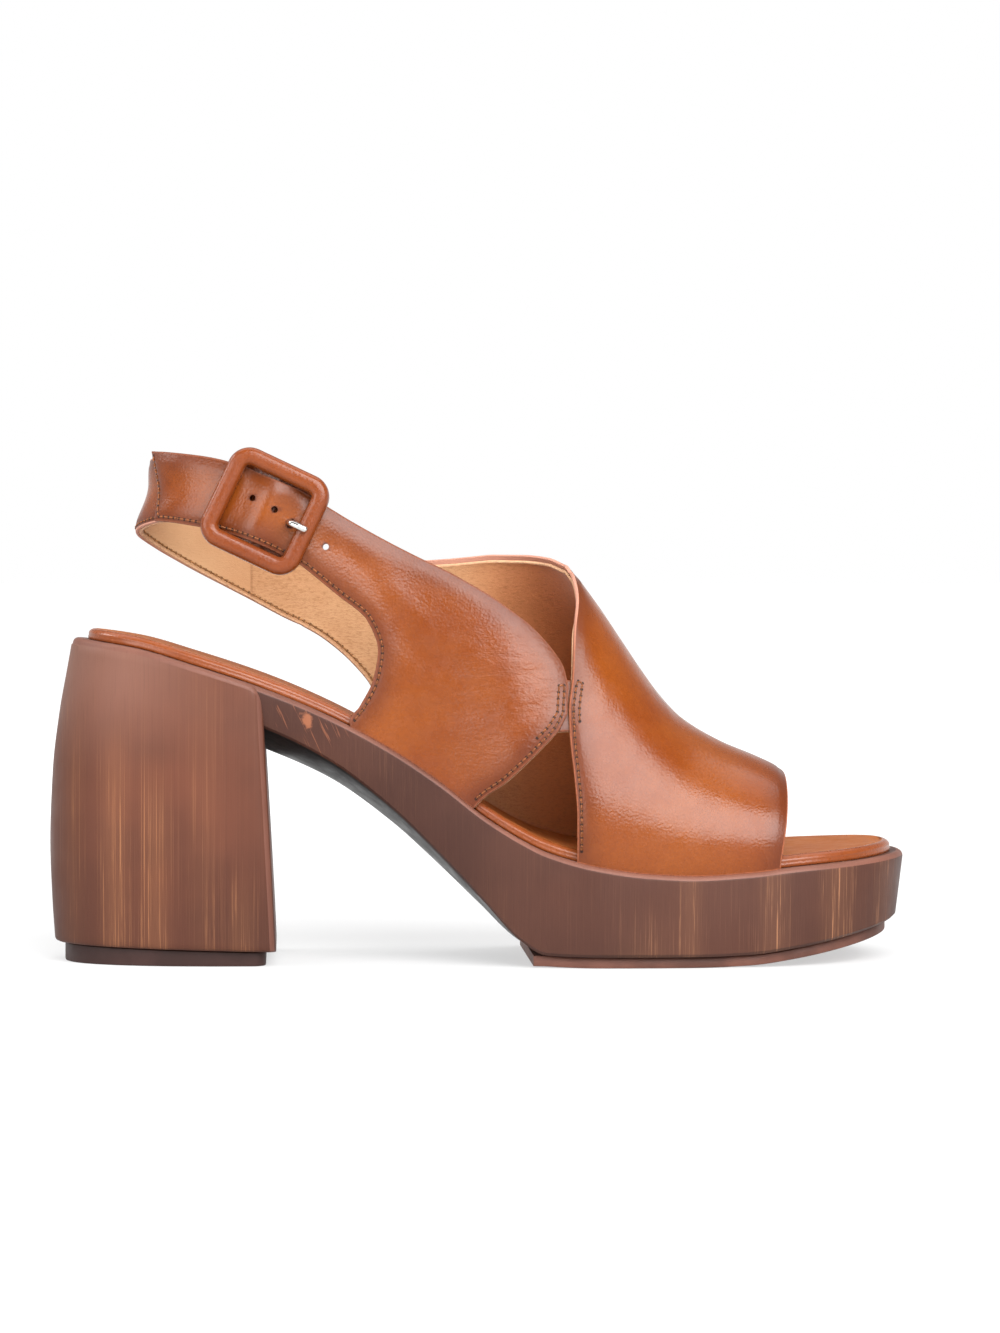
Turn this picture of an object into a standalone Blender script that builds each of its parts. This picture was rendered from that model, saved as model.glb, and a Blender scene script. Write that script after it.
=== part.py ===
"""Platform slingback sandal for the right foot: wood-look heel and platform, padded insole, leather upper
and covered buckle.

All sizes are in millimetres and are scaled to metres where a mesh is made. +X points to the toe, +Z up
and -Y to the lateral (outer) side. The origin is on the floor, midway along the length and the width.
"""

import math

import bmesh
import bpy
from mathutils import Vector

MM = 0.001

# Driving dimensions
TOE_TIP_X = 120.1
GAP = 0.3
LEATHER_WALL = 2.0
FEATHER_INSET = 1.0
FEATHER_LIFT = 0.5

# Sole
OUTSOLE_THICKNESS = 3.2
OUTSOLE_INSET = 3.0
OUTSOLE_REAR_X = 13.5
OUTSOLE_FLAT_X = 17.0
SIDE_DRAFT = 2.0
TOP_BEVEL = 1.8
LOWER_BEVEL = 0.8
TOE_ROUND_X = 70.0
TOE_ROUND_POWER = 2.3
ROUND_END_TURN = math.radians(86.0)
TOE_TIP_Y = 4.0
SHANK_REAR_X = -60.0
HEEL_SEAT_BACK_X = -113.0
HEEL_ROUND_POWER = 2.4
HEEL_PROUD = 1.0
HEEL_MIDDLE_X = -90.0
HEEL_BASE_Z = 4.0
HEEL_CORNER = 3.5
LIFT_INSET = 2.8
LIFT_FRONT_X = -57.0
LIFT_BACK_SLOPE = 0.025

# Insole
INSOLE_INSET = 3.5
INSOLE_THICKNESS = 2.9
INSOLE_ROUND = 2.2
INSOLE_UNDERCUT = 0.7

# Upper
ANKLE_X = -50.0
ANKLE_HALF_WIDTH = 28.0
ANKLE_BLEND_X = -8.0
ANKLE_BLEND_RISE = 42.0
BACK_REACH = 43.3
BACK_FLARE = 4.3
FLARE_LOW_Z = 118.0
FLARE_HIGH_Z = 133.0
WRAP_RADIUS = 30.0
WALL_BULGE = 1.6
WALL_BULGE_RISE = 50.0
WALL_BULGE_REAR_X = -10.0
WALL_BULGE_FULL_X = 30.0
# Brings the highest value of rise * (1 - rise) ** 2 to 1
BULGE_SCALE = 6.75
VAMP_BACK_MEDIAL_X = 20.0
LAYER_STEP = 1.8
LAYER_STEP_START_U = -88.0
LAYER_STEP_END_U = -110.0
TAB_OVERLAP = 0.4
TAB_THICKNESS = 1.4

# Buckle, in its own axes: along the strap, across it, and out from it
BUCKLE_RIB = 13.54
BUCKLE_RAISE = -0.2
BUCKLE_LENGTH = 30.0
BUCKLE_WIDTH = 29.4
BUCKLE_CORNER = 6.3
BUCKLE_BACK = -0.2
BAR_WIDTH = 5.0
BAR_HEIGHT = 3.7
CENTRE_BAR_RADIUS = 0.8
CENTRE_BAR_OUT = -0.9
STRAP_BUMP = 2.6
STRAP_BUMP_REACH = 8.5
PRONG_RADIUS = 0.95
HOLE_RADIUS = 0.9
PRONG_HOLE_RADIUS = 1.35
PRONG_HOLE_ALONG = 7.9


class Table:
    """Rows of named columns, read between rows by a smooth curve with no highs or lows of its own."""

    def __init__(self, columns, rows):
        self.columns = columns.split()
        self.rows = sorted(rows)

    def at(self, name, where):
        xs = [row[0] for row in self.rows]
        ys = [row[self.columns.index(name)] for row in self.rows]
        where = min(max(where, xs[0]), xs[-1])
        i = max(k for k in range(len(xs) - 1) if xs[k] <= where)
        step = xs[i + 1] - xs[i]
        t = (where - xs[i]) / step
        start, end = (self.slope(xs, ys, k) * step for k in (i, i + 1))
        return (
            ys[i] * (1 + 2 * t) * (1 - t) ** 2
            + start * t * (1 - t) ** 2
            + ys[i + 1] * t * t * (3 - 2 * t)
            + end * t * t * (t - 1)
        )

    @staticmethod
    def slope(xs, ys, k):
        if k in (0, len(xs) - 1):
            k = min(k, len(xs) - 2)
            return (ys[k + 1] - ys[k]) / (xs[k + 1] - xs[k])
        before = (ys[k] - ys[k - 1]) / (xs[k] - xs[k - 1])
        after = (ys[k + 1] - ys[k]) / (xs[k + 1] - xs[k])
        return 0.0 if before * after <= 0 else 2 * before * after / (before + after)


# Half-widths of the wooden edge in plan, from the heel's front to where the toe starts to round
OUTLINE = Table(
    "x lateral medial",
    [
        (-60, 29.6, 27.8),
        (-42, 28.0, 25.6),
        (-25, 28.8, 25.6),
        (-12, 31.0, 27.6),
        (0, 34.4, 31.4),
        (10, 37.8, 35.4),
        (22, 40.6, 39.0),
        (35, 42.4, 41.4),
        (48, 42.6, 42.5),
        (60, 42.0, 42.6),
        (70, 40.8, 42.0),
    ],
)

# Side view of the sole: top of the wood, its lower edge, and how far its underside bellies below that edge
PROFILE = Table(
    "x top edge belly",
    [
        (-113, 90.2, 79.0, 6.5),
        (-95, 87.3, 76.0, 6.5),
        (-80, 82.9, 72.0, 6.5),
        (-60, 76.2, 65.3, 6.5),
        (-42, 68.6, 56.2, 5.5),
        (-25, 59.4, 43.2, 4.5),
        (-12, 50.7, 30.6, 3.6),
        (0, 41.4, 18.0, 2.6),
        (10, 35.2, 7.4, 1.2),
        (17, 31.8, 3.6, 0.0),
        (30, 28.2, 3.2, 0.0),
        (45, 26.1, 3.2, 0.0),
        (58, 25.5, 3.2, 0.0),
        (72, 26.2, 3.6, 0.0),
        (85, 27.6, 5.2, 0.0),
        (103, 28.8, 8.4, 0.0),
        (120, 30.2, 12.2, 0.0),
    ],
)

# Side view of the heel block, and how much wider than the sole's edge it stands at each height
HEEL = Table(
    "z back front widen",
    [
        (4, -118.6, -56.8, -1.6),
        (15, -119.4, -57.2, -0.8),
        (31, -120.0, -57.9, 0.0),
        (50, -119.3, -58.8, 0.3),
        (66, -117.4, -59.6, 0.2),
        (78, -115.2, -60.2, 0.0),
        (90, -113.0, -60.6, 0.0),
    ],
)

# Cross-sections of the foot form that the upper is drawn over
FORM = Table(
    "x ridge power",
    [
        (-50, 212.0, 2.3),
        (-20, 178.0, 2.2),
        (0, 152.0, 2.1),
        (15, 127.6, 2.0),
        (28, 106.8, 2.0),
        (34, 98.4, 2.0),
        (40, 89.4, 2.05),
        (46, 80.4, 2.1),
        (51, 73.6, 2.15),
        (57, 67.4, 2.2),
        (68, 60.8, 2.25),
        (78, 56.6, 2.3),
        (90, 51.0, 2.4),
    ],
)

# Edges of the vamp: the toe opening by share of the arch, and the throat edge by height on the lateral side
TOE_EDGE = Table("arch x", [(0.0, 81.0), (0.15, 83.2), (0.3, 84.6), (0.5, 85.8), (0.75, 86.6), (1.0, 85.0)])
THROAT_EDGE = Table(
    "z x",
    [
        (28, 24.8),
        (42, 24.8),
        (53, 24.1),
        (62, 23.3),
        (70, 23.1),
        (79, 24.3),
        (93, 25.7),
        (103, 27.3),
        (108, 26.9),
        (111, 25.6),
    ],
)

# Ribs of the lateral quarter and its buckle strap, from lower end to upper end, by place along the wall and
# by height. A lower height of 0 stands on the sole.
QUARTER = Table(
    "rib lower_u lower_z upper_u upper_z",
    [
        (0, 22.8, 69.6, 23.4, 77.2),
        (1, 20.6, 65.6, 22.2, 82.4),
        (2, 15.0, 59.6, 18.7, 87.9),
        (3, 6.0, 51.0, 12.8, 94.2),
        (4, -2.6, 43.8, 6.5, 98.9),
        (5, -13.0, 0, 2.0, 102.0),
        (6, -25.0, 0, -4.0, 105.5),
        (7, -36.8, 66.4, -10.0, 108.8),
        (8, -33.9, 71.6, -15.5, 111.4),
        (9, -30.4, 78.6, -21.5, 114.4),
        (10, -29.0, 86.8, -28.5, 118.1),
        (11, -31.8, 94.8, -36.5, 122.6),
        (12, -40.4, 102.2, -46.0, 128.4),
        (13, -49.8, 109.9, -55.0, 133.7),
        (14, -57.0, 115.5, -62.4, 138.0),
        (15, -64.0, 119.2, -69.0, 140.1),
        (16, -71.5, 121.2, -76.5, 141.2),
        (17, -77.5, 122.2, -84.0, 141.8),
        (18, -82.4, 122.6, -90.5, 142.0),
    ],
)

# Ribs of the medial quarter and the sling strap, which runs on round the back to the lateral side
SLING = Table(
    "rib lower_u lower_z upper_u upper_z",
    [
        (0, 20.0, 0, 25.6, 110.6),
        (1, 12.0, 0, 21.0, 112.8),
        (2, 3.0, 0, 14.0, 113.6),
        (3, -6.0, 0, 6.0, 113.6),
        (4, -13.0, 0, -1.5, 112.9),
        (5, -20.5, 0, -8.5, 112.2),
        (6, -27.5, 61.3, -15.0, 111.8),
        (7, -27.6, 67.5, -20.5, 111.8),
        (8, -29.5, 74.6, -27.5, 112.4),
        (9, -35.4, 82.2, -35.5, 112.6),
        (10, -44.0, 89.4, -43.5, 114.0),
        (11, -51.0, 93.6, -51.0, 117.8),
        (12, -60.8, 101.4, -60.0, 123.8),
        (13, -68.7, 107.1, -68.7, 130.0),
        (14, -78.3, 113.0, -78.3, 134.8),
        (15, -87.0, 117.0, -87.0, 138.0),
        (16, -97.1, 120.0, -97.1, 140.0),
        (17, -113.0, 122.4, -113.0, 140.6),
        (18, -124.0, 121.4, -124.0, 139.4),
        (19, -133.5, 118.0, -133.5, 135.8),
    ],
)

# The stitched tab behind the lateral quarter's tip and the vamp's edge
TAB = Table(
    "rib lower_u lower_z upper_u upper_z",
    [(0, 15.5, 64.0, 15.0, 77.5), (1, 30.5, 64.5, 30.5, 78.0)],
)

# Holes in the buckle strap, in the buckle's axes, and how deep each is cut
HOLES = ((-4.6, 1.8, -1.6), (2.4, 1.5, -1.6), (19.0, -1.6, -6.0))


def ease(start, end, value):
    """0 before start and 1 after end, smooth between."""
    t = min(max((value - start) / (end - start), 0.0), 1.0)
    return t * t * (3 - 2 * t)


def round_off(share, power):
    """Half-width that is left a share of the way along a rounded end."""
    return (1 - min(share, 1.0) ** power) ** (1 / power)


def outline(s, inset=0.0):
    """Edge of the sole in plan at station s, drawn in by inset: its x, and its lateral and medial y."""
    toe = max((s - TOE_ROUND_X) / (TOE_TIP_X - TOE_ROUND_X), 0.0)
    heel = max((SHANK_REAR_X - s) / (SHANK_REAR_X - HEEL_SEAT_BACK_X), 0.0)
    share = round_off(toe, TOE_ROUND_POWER) * round_off(heel, HEEL_ROUND_POWER)
    middle = TOE_TIP_Y * toe**2
    lateral = (OUTLINE.at("lateral", s) - inset) * share
    medial = (OUTLINE.at("medial", s) - inset) * share
    return s - inset * (toe - heel), middle - lateral, middle + medial


def toe_stations(steps):
    """Stations round the toe, evenly turned, stopping short of the very tip."""
    reach = TOE_TIP_X - TOE_ROUND_X
    turns = [ROUND_END_TURN * (i + 1) / steps for i in range(steps)]
    return [TOE_ROUND_X + reach * math.sin(turn) ** (2 / TOE_ROUND_POWER) for turn in turns]


def heel_stations(steps):
    reach = SHANK_REAR_X - HEEL_SEAT_BACK_X
    turns = [ROUND_END_TURN * (steps - i) / steps for i in range(steps)]
    return [SHANK_REAR_X - reach * math.sin(turn) ** (2 / HEEL_ROUND_POWER) for turn in turns]


def even_stations(start, end, steps):
    return [start + (end - start) * i / steps for i in range(steps + 1)]


def platform_ring(s):
    """Closed section of the platform: across its underside, then back over its top."""
    x, lateral, medial = outline(s, SIDE_DRAFT)
    edge, belly = PROFILE.at("edge", x), PROFILE.at("belly", x)
    ring = [Vector((x, lateral, edge + LOWER_BEVEL))]
    x, lateral, medial = outline(s, SIDE_DRAFT + LOWER_BEVEL)
    for f in (0.0, 0.12, 0.3, 0.5, 0.7, 0.88, 1.0):
        low = edge - belly * (1 - (2 * f - 1) ** 2)
        ring.append(Vector((x, lateral + (medial - lateral) * f, low)))
    x, lateral, medial = outline(s, SIDE_DRAFT)
    ring.append(Vector((x, medial, edge + LOWER_BEVEL)))
    for angle in (0, 45, 90):
        turn = math.radians(angle)
        x, lateral, medial = outline(s, TOP_BEVEL * (1 - math.cos(turn)))
        ring.append(Vector((x, medial, PROFILE.at("top", x) - TOP_BEVEL * (1 - math.sin(turn)))))
    for angle in (90, 45, 0):
        turn = math.radians(angle)
        x, lateral, medial = outline(s, TOP_BEVEL * (1 - math.cos(turn)))
        ring.append(Vector((x, lateral, PROFILE.at("top", x) - TOP_BEVEL * (1 - math.sin(turn)))))
    return ring


def heel_ring(z, inset=0.0, front_inset=0.0):
    """Closed D of the heel block at a height: round at the back, flat at the front with rounded corners."""
    back = HEEL.at("back", z) + inset
    side_start = HEEL.at("front", z) - front_inset - HEEL_CORNER
    spread = HEEL_PROUD + HEEL.at("widen", z) - inset
    lateral = OUTLINE.at("lateral", SHANK_REAR_X) + spread
    medial = OUTLINE.at("medial", SHANK_REAR_X) + spread
    points = []
    for i in range(25):
        turn = math.pi * i / 24
        across, along = math.cos(turn), math.sin(turn)
        half = lateral if across > 0 else medial
        y = -math.copysign(half * abs(across) ** (2 / HEEL_ROUND_POWER), across)
        points.append((side_start - (side_start - back) * along ** (2 / HEEL_ROUND_POWER), y))
    for half, side, angles in ((medial, 1, (30, 60, 90)), (lateral, -1, (90, 60, 30))):
        for angle in angles:
            turn = math.radians(angle)
            y = half - HEEL_CORNER * (1 - math.cos(turn))
            points.append((side_start + HEEL_CORNER * math.sin(turn), side * y))
    return points


def lift_rise(x):
    """How much thicker the top lift is at x than at its front."""
    return LIFT_BACK_SLOPE * (LIFT_FRONT_X - x)


def heel_level(share, inset=0.0, below_top=0.0):
    """Ring of the heel block at a share of its height, its top following the slope of the heel seat."""
    nominal = HEEL_BASE_Z + share * (PROFILE.at("top", HEEL_MIDDLE_X) - HEEL_BASE_Z)
    ring = []
    for x, y in heel_ring(nominal, inset):
        base = HEEL_BASE_Z + lift_rise(x)
        top = PROFILE.at("top", x) - below_top
        ring.append(Vector((x, y, base + share * (top - base))))
    return ring


def insole_ring(s):
    """Closed section of the padded insole, with its top edges rolled over."""
    x, lateral, medial = outline(s, INSOLE_INSET + INSOLE_UNDERCUT)
    low = PROFILE.at("top", x) + GAP
    ring = [Vector((x, lateral, low)), Vector((x, medial, low))]
    for angle in (0, 35, 65, 90):
        turn = math.radians(angle)
        x, lateral, medial = outline(s, INSOLE_INSET + INSOLE_ROUND * (1 - math.cos(turn)))
        high = PROFILE.at("top", x) + GAP + INSOLE_THICKNESS
        ring.append(Vector((x, medial, high - INSOLE_ROUND * (1 - math.sin(turn)))))
    for angle in (90, 65, 35, 0):
        turn = math.radians(angle)
        x, lateral, medial = outline(s, INSOLE_INSET + INSOLE_ROUND * (1 - math.cos(turn)))
        high = PROFILE.at("top", x) + GAP + INSOLE_THICKNESS
        ring.append(Vector((x, lateral, high - INSOLE_ROUND * (1 - math.sin(turn)))))
    return ring


def outsole_ring(s):
    x, lateral, medial = outline(s, SIDE_DRAFT + OUTSOLE_INSET)
    edge = PROFILE.at("edge", max(x, OUTSOLE_FLAT_X))
    high, low = edge - GAP, max(edge - OUTSOLE_THICKNESS, 0.0)
    return [Vector((x, y, z)) for y, z in ((lateral, low), (medial, low), (medial, high), (lateral, high))]


# Foot form of the upper


def form_base(u):
    return PROFILE.at("top", u) + FEATHER_LIFT


def height_angle(u, z):
    """Angle up the arch of the section at u, at height z: 0 at the sole, a quarter turn at the ridge."""
    u = max(u, ANKLE_X)
    base = form_base(u)
    share = min(max((z - base) / (FORM.at("ridge", u) - base), 0.0), 1.0)
    return math.asin(share ** (FORM.at("power", u) / 2))


def form_point(u, angle, side, drop=0.0):
    """Point on the outside of the upper, drawn in by drop. Past ANKLE_X the wall wraps round the heel."""
    section = max(u, ANKLE_X)
    base, ridge, power = form_base(section), FORM.at("ridge", section), FORM.at("power", section)
    z = base + (ridge - base) * math.sin(angle) ** (2 / power)
    fullness = max(math.cos(angle), 0.0) ** (2 / power)
    x, lateral, medial = outline(section, FEATHER_INSET)
    half = -lateral if side < 0 else medial
    ankle = (1 - ease(ANKLE_X, ANKLE_BLEND_X, section)) * ease(0, ANKLE_BLEND_RISE, z - base)
    half += (ANKLE_HALF_WIDTH - half) * ankle
    rise = min((z - base) / WALL_BULGE_RISE, 1.0)
    swell = ease(WALL_BULGE_REAR_X, WALL_BULGE_FULL_X, section)
    bulge = WALL_BULGE * BULGE_SCALE * rise * (1 - rise) ** 2 * swell
    out = half * fullness + bulge - drop
    if u >= ANKLE_X:
        return Vector((u, side * out, z))
    theta = (ANKLE_X - u) / WRAP_RADIUS
    reach = BACK_REACH + BACK_FLARE * (1 - ease(FLARE_LOW_Z, FLARE_HIGH_Z, z)) - drop
    return Vector((ANKLE_X - reach * math.sin(theta), side * out * math.cos(theta), z))


def rib_points(table, rib, across, side, drop=0.0):
    """Points up one rib, from its lower end to its upper end."""
    low_u, low_z, high_u, high_z = (
        table.at(name, rib) for name in ("lower_u", "lower_z", "upper_u", "upper_z")
    )
    low_angle = height_angle(low_u, low_z)
    high_angle = height_angle(high_u, high_z)
    points = []
    for i in range(across + 1):
        f = i / across
        u = low_u + (high_u - low_u) * f
        angle = low_angle + (high_angle - low_angle) * f
        points.append(form_point(u, angle, side, drop))
    return points


def throat_x(angle):
    """Where the vamp's rear edge crosses an arch angle on the lateral side."""
    x = 25.0
    for _ in range(8):
        x = THROAT_EDGE.at("x", form_point(x, angle, -1).z)
    return x


# Mesh making


def new_material(name, colour, roughness, metallic=0.0):
    material = bpy.data.materials.new(name)
    material.use_nodes = True
    shader = material.node_tree.nodes["Principled BSDF"]
    shader.inputs["Base Color"].default_value = (*colour, 1.0)
    shader.inputs["Roughness"].default_value = roughness
    shader.inputs["Metallic"].default_value = metallic
    return material


def new_object(name, shape, collection, material=None, helper=False):
    """Object from a bmesh in millimetres."""
    bmesh.ops.scale(shape, vec=(MM, MM, MM), verts=shape.verts)
    mesh = bpy.data.meshes.new(name)
    shape.to_mesh(mesh)
    shape.free()
    mesh.shade_smooth()
    mesh.set_sharp_from_angle(angle=math.radians(40))
    made = bpy.data.objects.new(name, mesh)
    collection.objects.link(made)
    if material:
        mesh.materials.append(material)
    if helper:
        made.hide_render = True
        made.display_type = "WIRE"
    return made


def loft(rings):
    """Closed skin through rings of equal length, capped at both ends."""
    shape = bmesh.new()
    rows = [[shape.verts.new(point) for point in ring] for ring in rings]
    count = len(rings[0])
    for row, after in zip(rows, rows[1:]):
        for i in range(count):
            j = (i + 1) % count
            shape.faces.new((row[i], row[j], after[j], after[i]))
    shape.faces.new(reversed(rows[0]))
    shape.faces.new(rows[-1])
    bmesh.ops.recalc_face_normals(shape, faces=shape.faces)
    return shape


def add_sheet(shape, rows, flip):
    """Adds an open grid of faces to a bmesh."""
    grid = [[shape.verts.new(point) for point in row] for row in rows]
    for row, after in zip(grid, grid[1:]):
        for i in range(len(row) - 1):
            face = [row[i], row[i + 1], after[i + 1], after[i]]
            shape.faces.new(reversed(face) if flip else face)


def thicken(made, wall):
    """Gives a sheet, which is the outer face, its wall inwards."""
    solidify = made.modifiers.new("wall", "SOLIDIFY")
    solidify.thickness = wall * MM
    solidify.offset = -1.0


def combine(made, operand, operation):
    boolean = made.modifiers.new(operand.name, "BOOLEAN")
    boolean.solver = "EXACT"
    boolean.operation = operation
    boolean.object = operand


# Sub-parts


def make_heel_top_lift(parts, material):
    edge = heel_ring(HEEL_BASE_Z, LIFT_INSET, LIFT_INSET)
    bottom = [Vector((x, y, 0.0)) for x, y in edge]
    top = [Vector((x, y, lift_rise(x) + HEEL_BASE_Z - GAP)) for x, y in edge]
    new_object("heel_top_lift", loft([bottom, top]), parts, material)


def make_heel_block(parts, material):
    levels = [heel_level(0.0, LOWER_BEVEL), heel_level(LOWER_BEVEL / 80)]
    levels += [heel_level(i / 12) for i in range(1, 12)]
    levels.append(heel_level(1.0, 0.0, TOP_BEVEL))
    levels.append(heel_level(1.0, TOP_BEVEL * 0.3, TOP_BEVEL * 0.3))
    levels.append(heel_level(1.0, TOP_BEVEL))
    new_object("heel_block", loft(levels), parts, material)


def make_platform(parts, material):
    places = even_stations(SHANK_REAR_X, TOE_ROUND_X, 26) + toe_stations(12)
    rings = [platform_ring(s) for s in places]
    for point in rings[0]:
        point.x = HEEL.at("front", point.z) + GAP
    new_object("platform", loft(rings), parts, material)


def make_forefoot_outsole(parts, material):
    places = even_stations(OUTSOLE_REAR_X, TOE_ROUND_X, 8) + toe_stations(12)
    new_object("forefoot_outsole", loft([outsole_ring(s) for s in places]), parts, material)


def make_insole(parts, material):
    places = heel_stations(12) + even_stations(SHANK_REAR_X, TOE_ROUND_X, 22) + toe_stations(12)
    new_object("insole", loft([insole_ring(s) for s in places]), parts, material)


def vamp_rows(along, across):
    """Arches of the vamp from the toe opening back to the throat, lateral sole edge to medial sole edge."""
    ridge_back = throat_x(math.pi / 2)
    rows = []
    for i in range(along + 1):
        row = []
        for k in range(2 * across + 1):
            arch = k / (2 * across)
            front = TOE_EDGE.at("x", arch)
            if arch <= 0.5:
                angle, side = math.pi * arch, -1
                back = throat_x(angle)
            else:
                angle, side = math.pi * (1 - arch), 1
                back = ridge_back + (VAMP_BACK_MEDIAL_X - ridge_back) * (arch - 0.5) * 2
            row.append(form_point(front + (back - front) * i / along, angle, side))
        rows.append(row)
    return rows


def buckle_axes():
    """Place of the buckle's middle on the strap, and unit vectors along the strap, across it and out."""
    ribs = (BUCKLE_RIB - 1.1, BUCKLE_RIB, BUCKLE_RIB + 1.1)
    ahead, middle, behind = (rib_points(QUARTER, rib, 2, -1)[1] for rib in ribs)
    low, high = (rib_points(QUARTER, BUCKLE_RIB, 10, -1)[k] for k in (4, 6))
    along = (ahead - behind).normalized()
    out = along.cross(high - low).normalized()
    if out.y > 0:
        out = -out
    across = out.cross(along)
    return middle + across * BUCKLE_RAISE, along, across, out


def buckle_place(along, across, out):
    """Point given in the buckle's axes."""
    middle, length, width, outward = buckle_axes()
    return middle + length * along + width * across + outward * out


def strap_bump(point):
    """Point of the buckle strap, raised where the strap rides over the buckle's centre bar."""
    middle, length, width, outward = buckle_axes()
    share = min(abs((point - middle).dot(length)) / STRAP_BUMP_REACH, 1.0)
    return point + outward * STRAP_BUMP * (1 - share**2) ** 2


def make_upper(parts, cutters, material):
    across = 10
    shape = bmesh.new()
    rows = vamp_rows(12, across)
    add_sheet(shape, rows, flip=False)
    ribs = [[rows[-1][k] for k in range(2 * across, across - 1, -1)]]
    for rib in even_stations(0, 19, 60)[1:]:
        drop = LAYER_STEP * ease(-LAYER_STEP_START_U, -LAYER_STEP_END_U, -SLING.at("lower_u", rib))
        ribs.append(rib_points(SLING, rib, across, 1, drop))
    add_sheet(shape, ribs, flip=True)
    bmesh.ops.remove_doubles(shape, verts=shape.verts, dist=0.01)
    upper = new_object("upper", shape, parts, material)
    thicken(upper, LEATHER_WALL)

    shape = bmesh.new()
    ribs = [rib_points(QUARTER, rib, 8, -1) for rib in even_stations(0, 18, 64)]
    add_sheet(shape, [[strap_bump(point) for point in rib] for rib in ribs], flip=False)
    quarter = new_object("lateral_quarter", shape, cutters, helper=True)
    thicken(quarter, LEATHER_WALL)
    combine(upper, quarter, "UNION")

    shape = bmesh.new()
    ribs = [rib_points(TAB, rib, 4, -1, LEATHER_WALL - TAB_OVERLAP) for rib in even_stations(0, 1, 6)]
    add_sheet(shape, ribs, flip=True)
    tab = new_object("joining_tab", shape, cutters, helper=True)
    thicken(tab, TAB_THICKNESS)
    combine(upper, tab, "UNION")

    holes = [(along, side, deep, HOLE_RADIUS) for along, side, deep in HOLES]
    holes.append((PRONG_HOLE_ALONG, 0.0, -6.0, PRONG_HOLE_RADIUS))
    for i, (along, side, deep, radius) in enumerate(holes):
        path = [buckle_place(along, side, deep), buckle_place(along, side, 6.0)]
        punch = new_object(f"strap_hole_{i}", rod(path, radius, 16), cutters, helper=True)
        combine(upper, punch, "DIFFERENCE")


def rod(path, radius, sides):
    """Round bar along a path of points."""
    rings = []
    for i, point in enumerate(path):
        heading = (path[min(i + 1, len(path) - 1)] - path[max(i - 1, 0)]).normalized()
        turn = heading.to_track_quat("Z", "Y").to_matrix()
        ring = []
        for k in range(sides):
            angle = 2 * math.pi * k / sides
            ring.append(point + turn @ Vector((radius * math.cos(angle), radius * math.sin(angle), 0.0)))
        rings.append(ring)
    return loft(rings)


def frame_path(steps):
    """Middle line of the buckle frame: corner centres, turned through a quarter each."""
    half_length = (BUCKLE_LENGTH - BAR_WIDTH) / 2
    half_width = (BUCKLE_WIDTH - BAR_WIDTH) / 2
    radius = BUCKLE_CORNER - BAR_WIDTH / 2
    path = []
    for corner in range(4):
        sign_x = 1 if corner in (0, 3) else -1
        sign_y = 1 if corner in (0, 1) else -1
        centre = Vector((sign_x * (half_length - radius), sign_y * (half_width - radius)))
        for i in range(steps + 1):
            angle = math.pi / 2 * (corner + i / steps)
            facing = Vector((math.cos(angle), math.sin(angle)))
            path.append((centre + facing * radius, facing))
    return path


def make_buckle_frame(parts, cutters, material):
    """Leather-covered frame, domed in front and flat behind, with the bar that the strap rides over."""
    shape = bmesh.new()
    section = [(-0.42, 0.0), (0.42, 0.0), (0.5, 0.2), (0.46, 0.62), (0.26, 0.92), (0.0, 1.0), (-0.26, 0.92)]
    section += [(-0.46, 0.62), (-0.5, 0.2)]
    rings = []
    for place, facing in frame_path(5):
        ring = []
        for share, height in section:
            spot = place + facing * share * BAR_WIDTH
            ring.append(shape.verts.new(buckle_place(spot.x, spot.y, BUCKLE_BACK + height * BAR_HEIGHT)))
        rings.append(ring)
    count = len(section)
    for i, ring in enumerate(rings):
        after = rings[(i + 1) % len(rings)]
        for k in range(count):
            shape.faces.new((ring[k], ring[(k + 1) % count], after[(k + 1) % count], after[k]))
    bmesh.ops.recalc_face_normals(shape, faces=shape.faces)
    frame = new_object("buckle_frame", shape, parts, material)
    half = (BUCKLE_WIDTH - BAR_WIDTH) / 2
    path = [buckle_place(0.0, side * half, CENTRE_BAR_OUT) for side in (-1, 1)]
    bar = new_object("centre_bar", rod(path, CENTRE_BAR_RADIUS, 12), cutters, helper=True)
    combine(frame, bar, "UNION")


def make_buckle_prong(parts, material):
    """Prong, standing up through the strap's hole and bent over the frame's front bar."""
    front = BUCKLE_BACK + BAR_HEIGHT + GAP + PRONG_RADIUS
    spots = [(7.6, -1.9), (7.7, 0.6), (7.9, 2.6), (8.5, 3.9), (9.6, 4.5)]
    spots += [(11.0, front + 0.06), (13.4, front)]
    path = [buckle_place(along, 0.0, out) for along, out in spots]
    new_object("buckle_prong", rod(path, PRONG_RADIUS, 10), parts, material)


def main():
    for old in list(bpy.data.objects):
        bpy.data.objects.remove(old)
    parts = bpy.data.collections.new("platform_slingback_sandal")
    cutters = bpy.data.collections.new("cutters")
    for collection in (parts, cutters):
        bpy.context.scene.collection.children.link(collection)
    wood = new_material("brushed_wood", (0.16, 0.07, 0.05), 0.5)
    rubber = new_material("dark_rubber", (0.07, 0.035, 0.03), 0.7)
    leather = new_material("tan_leather", (0.45, 0.14, 0.04), 0.45)
    steel = new_material("polished_steel", (0.75, 0.75, 0.75), 0.15, 1.0)
    make_heel_top_lift(parts, rubber)
    make_heel_block(parts, wood)
    make_platform(parts, wood)
    make_forefoot_outsole(parts, rubber)
    make_insole(parts, leather)
    make_upper(parts, cutters, leather)
    make_buckle_frame(parts, cutters, leather)
    make_buckle_prong(parts, steel)


main()
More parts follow.
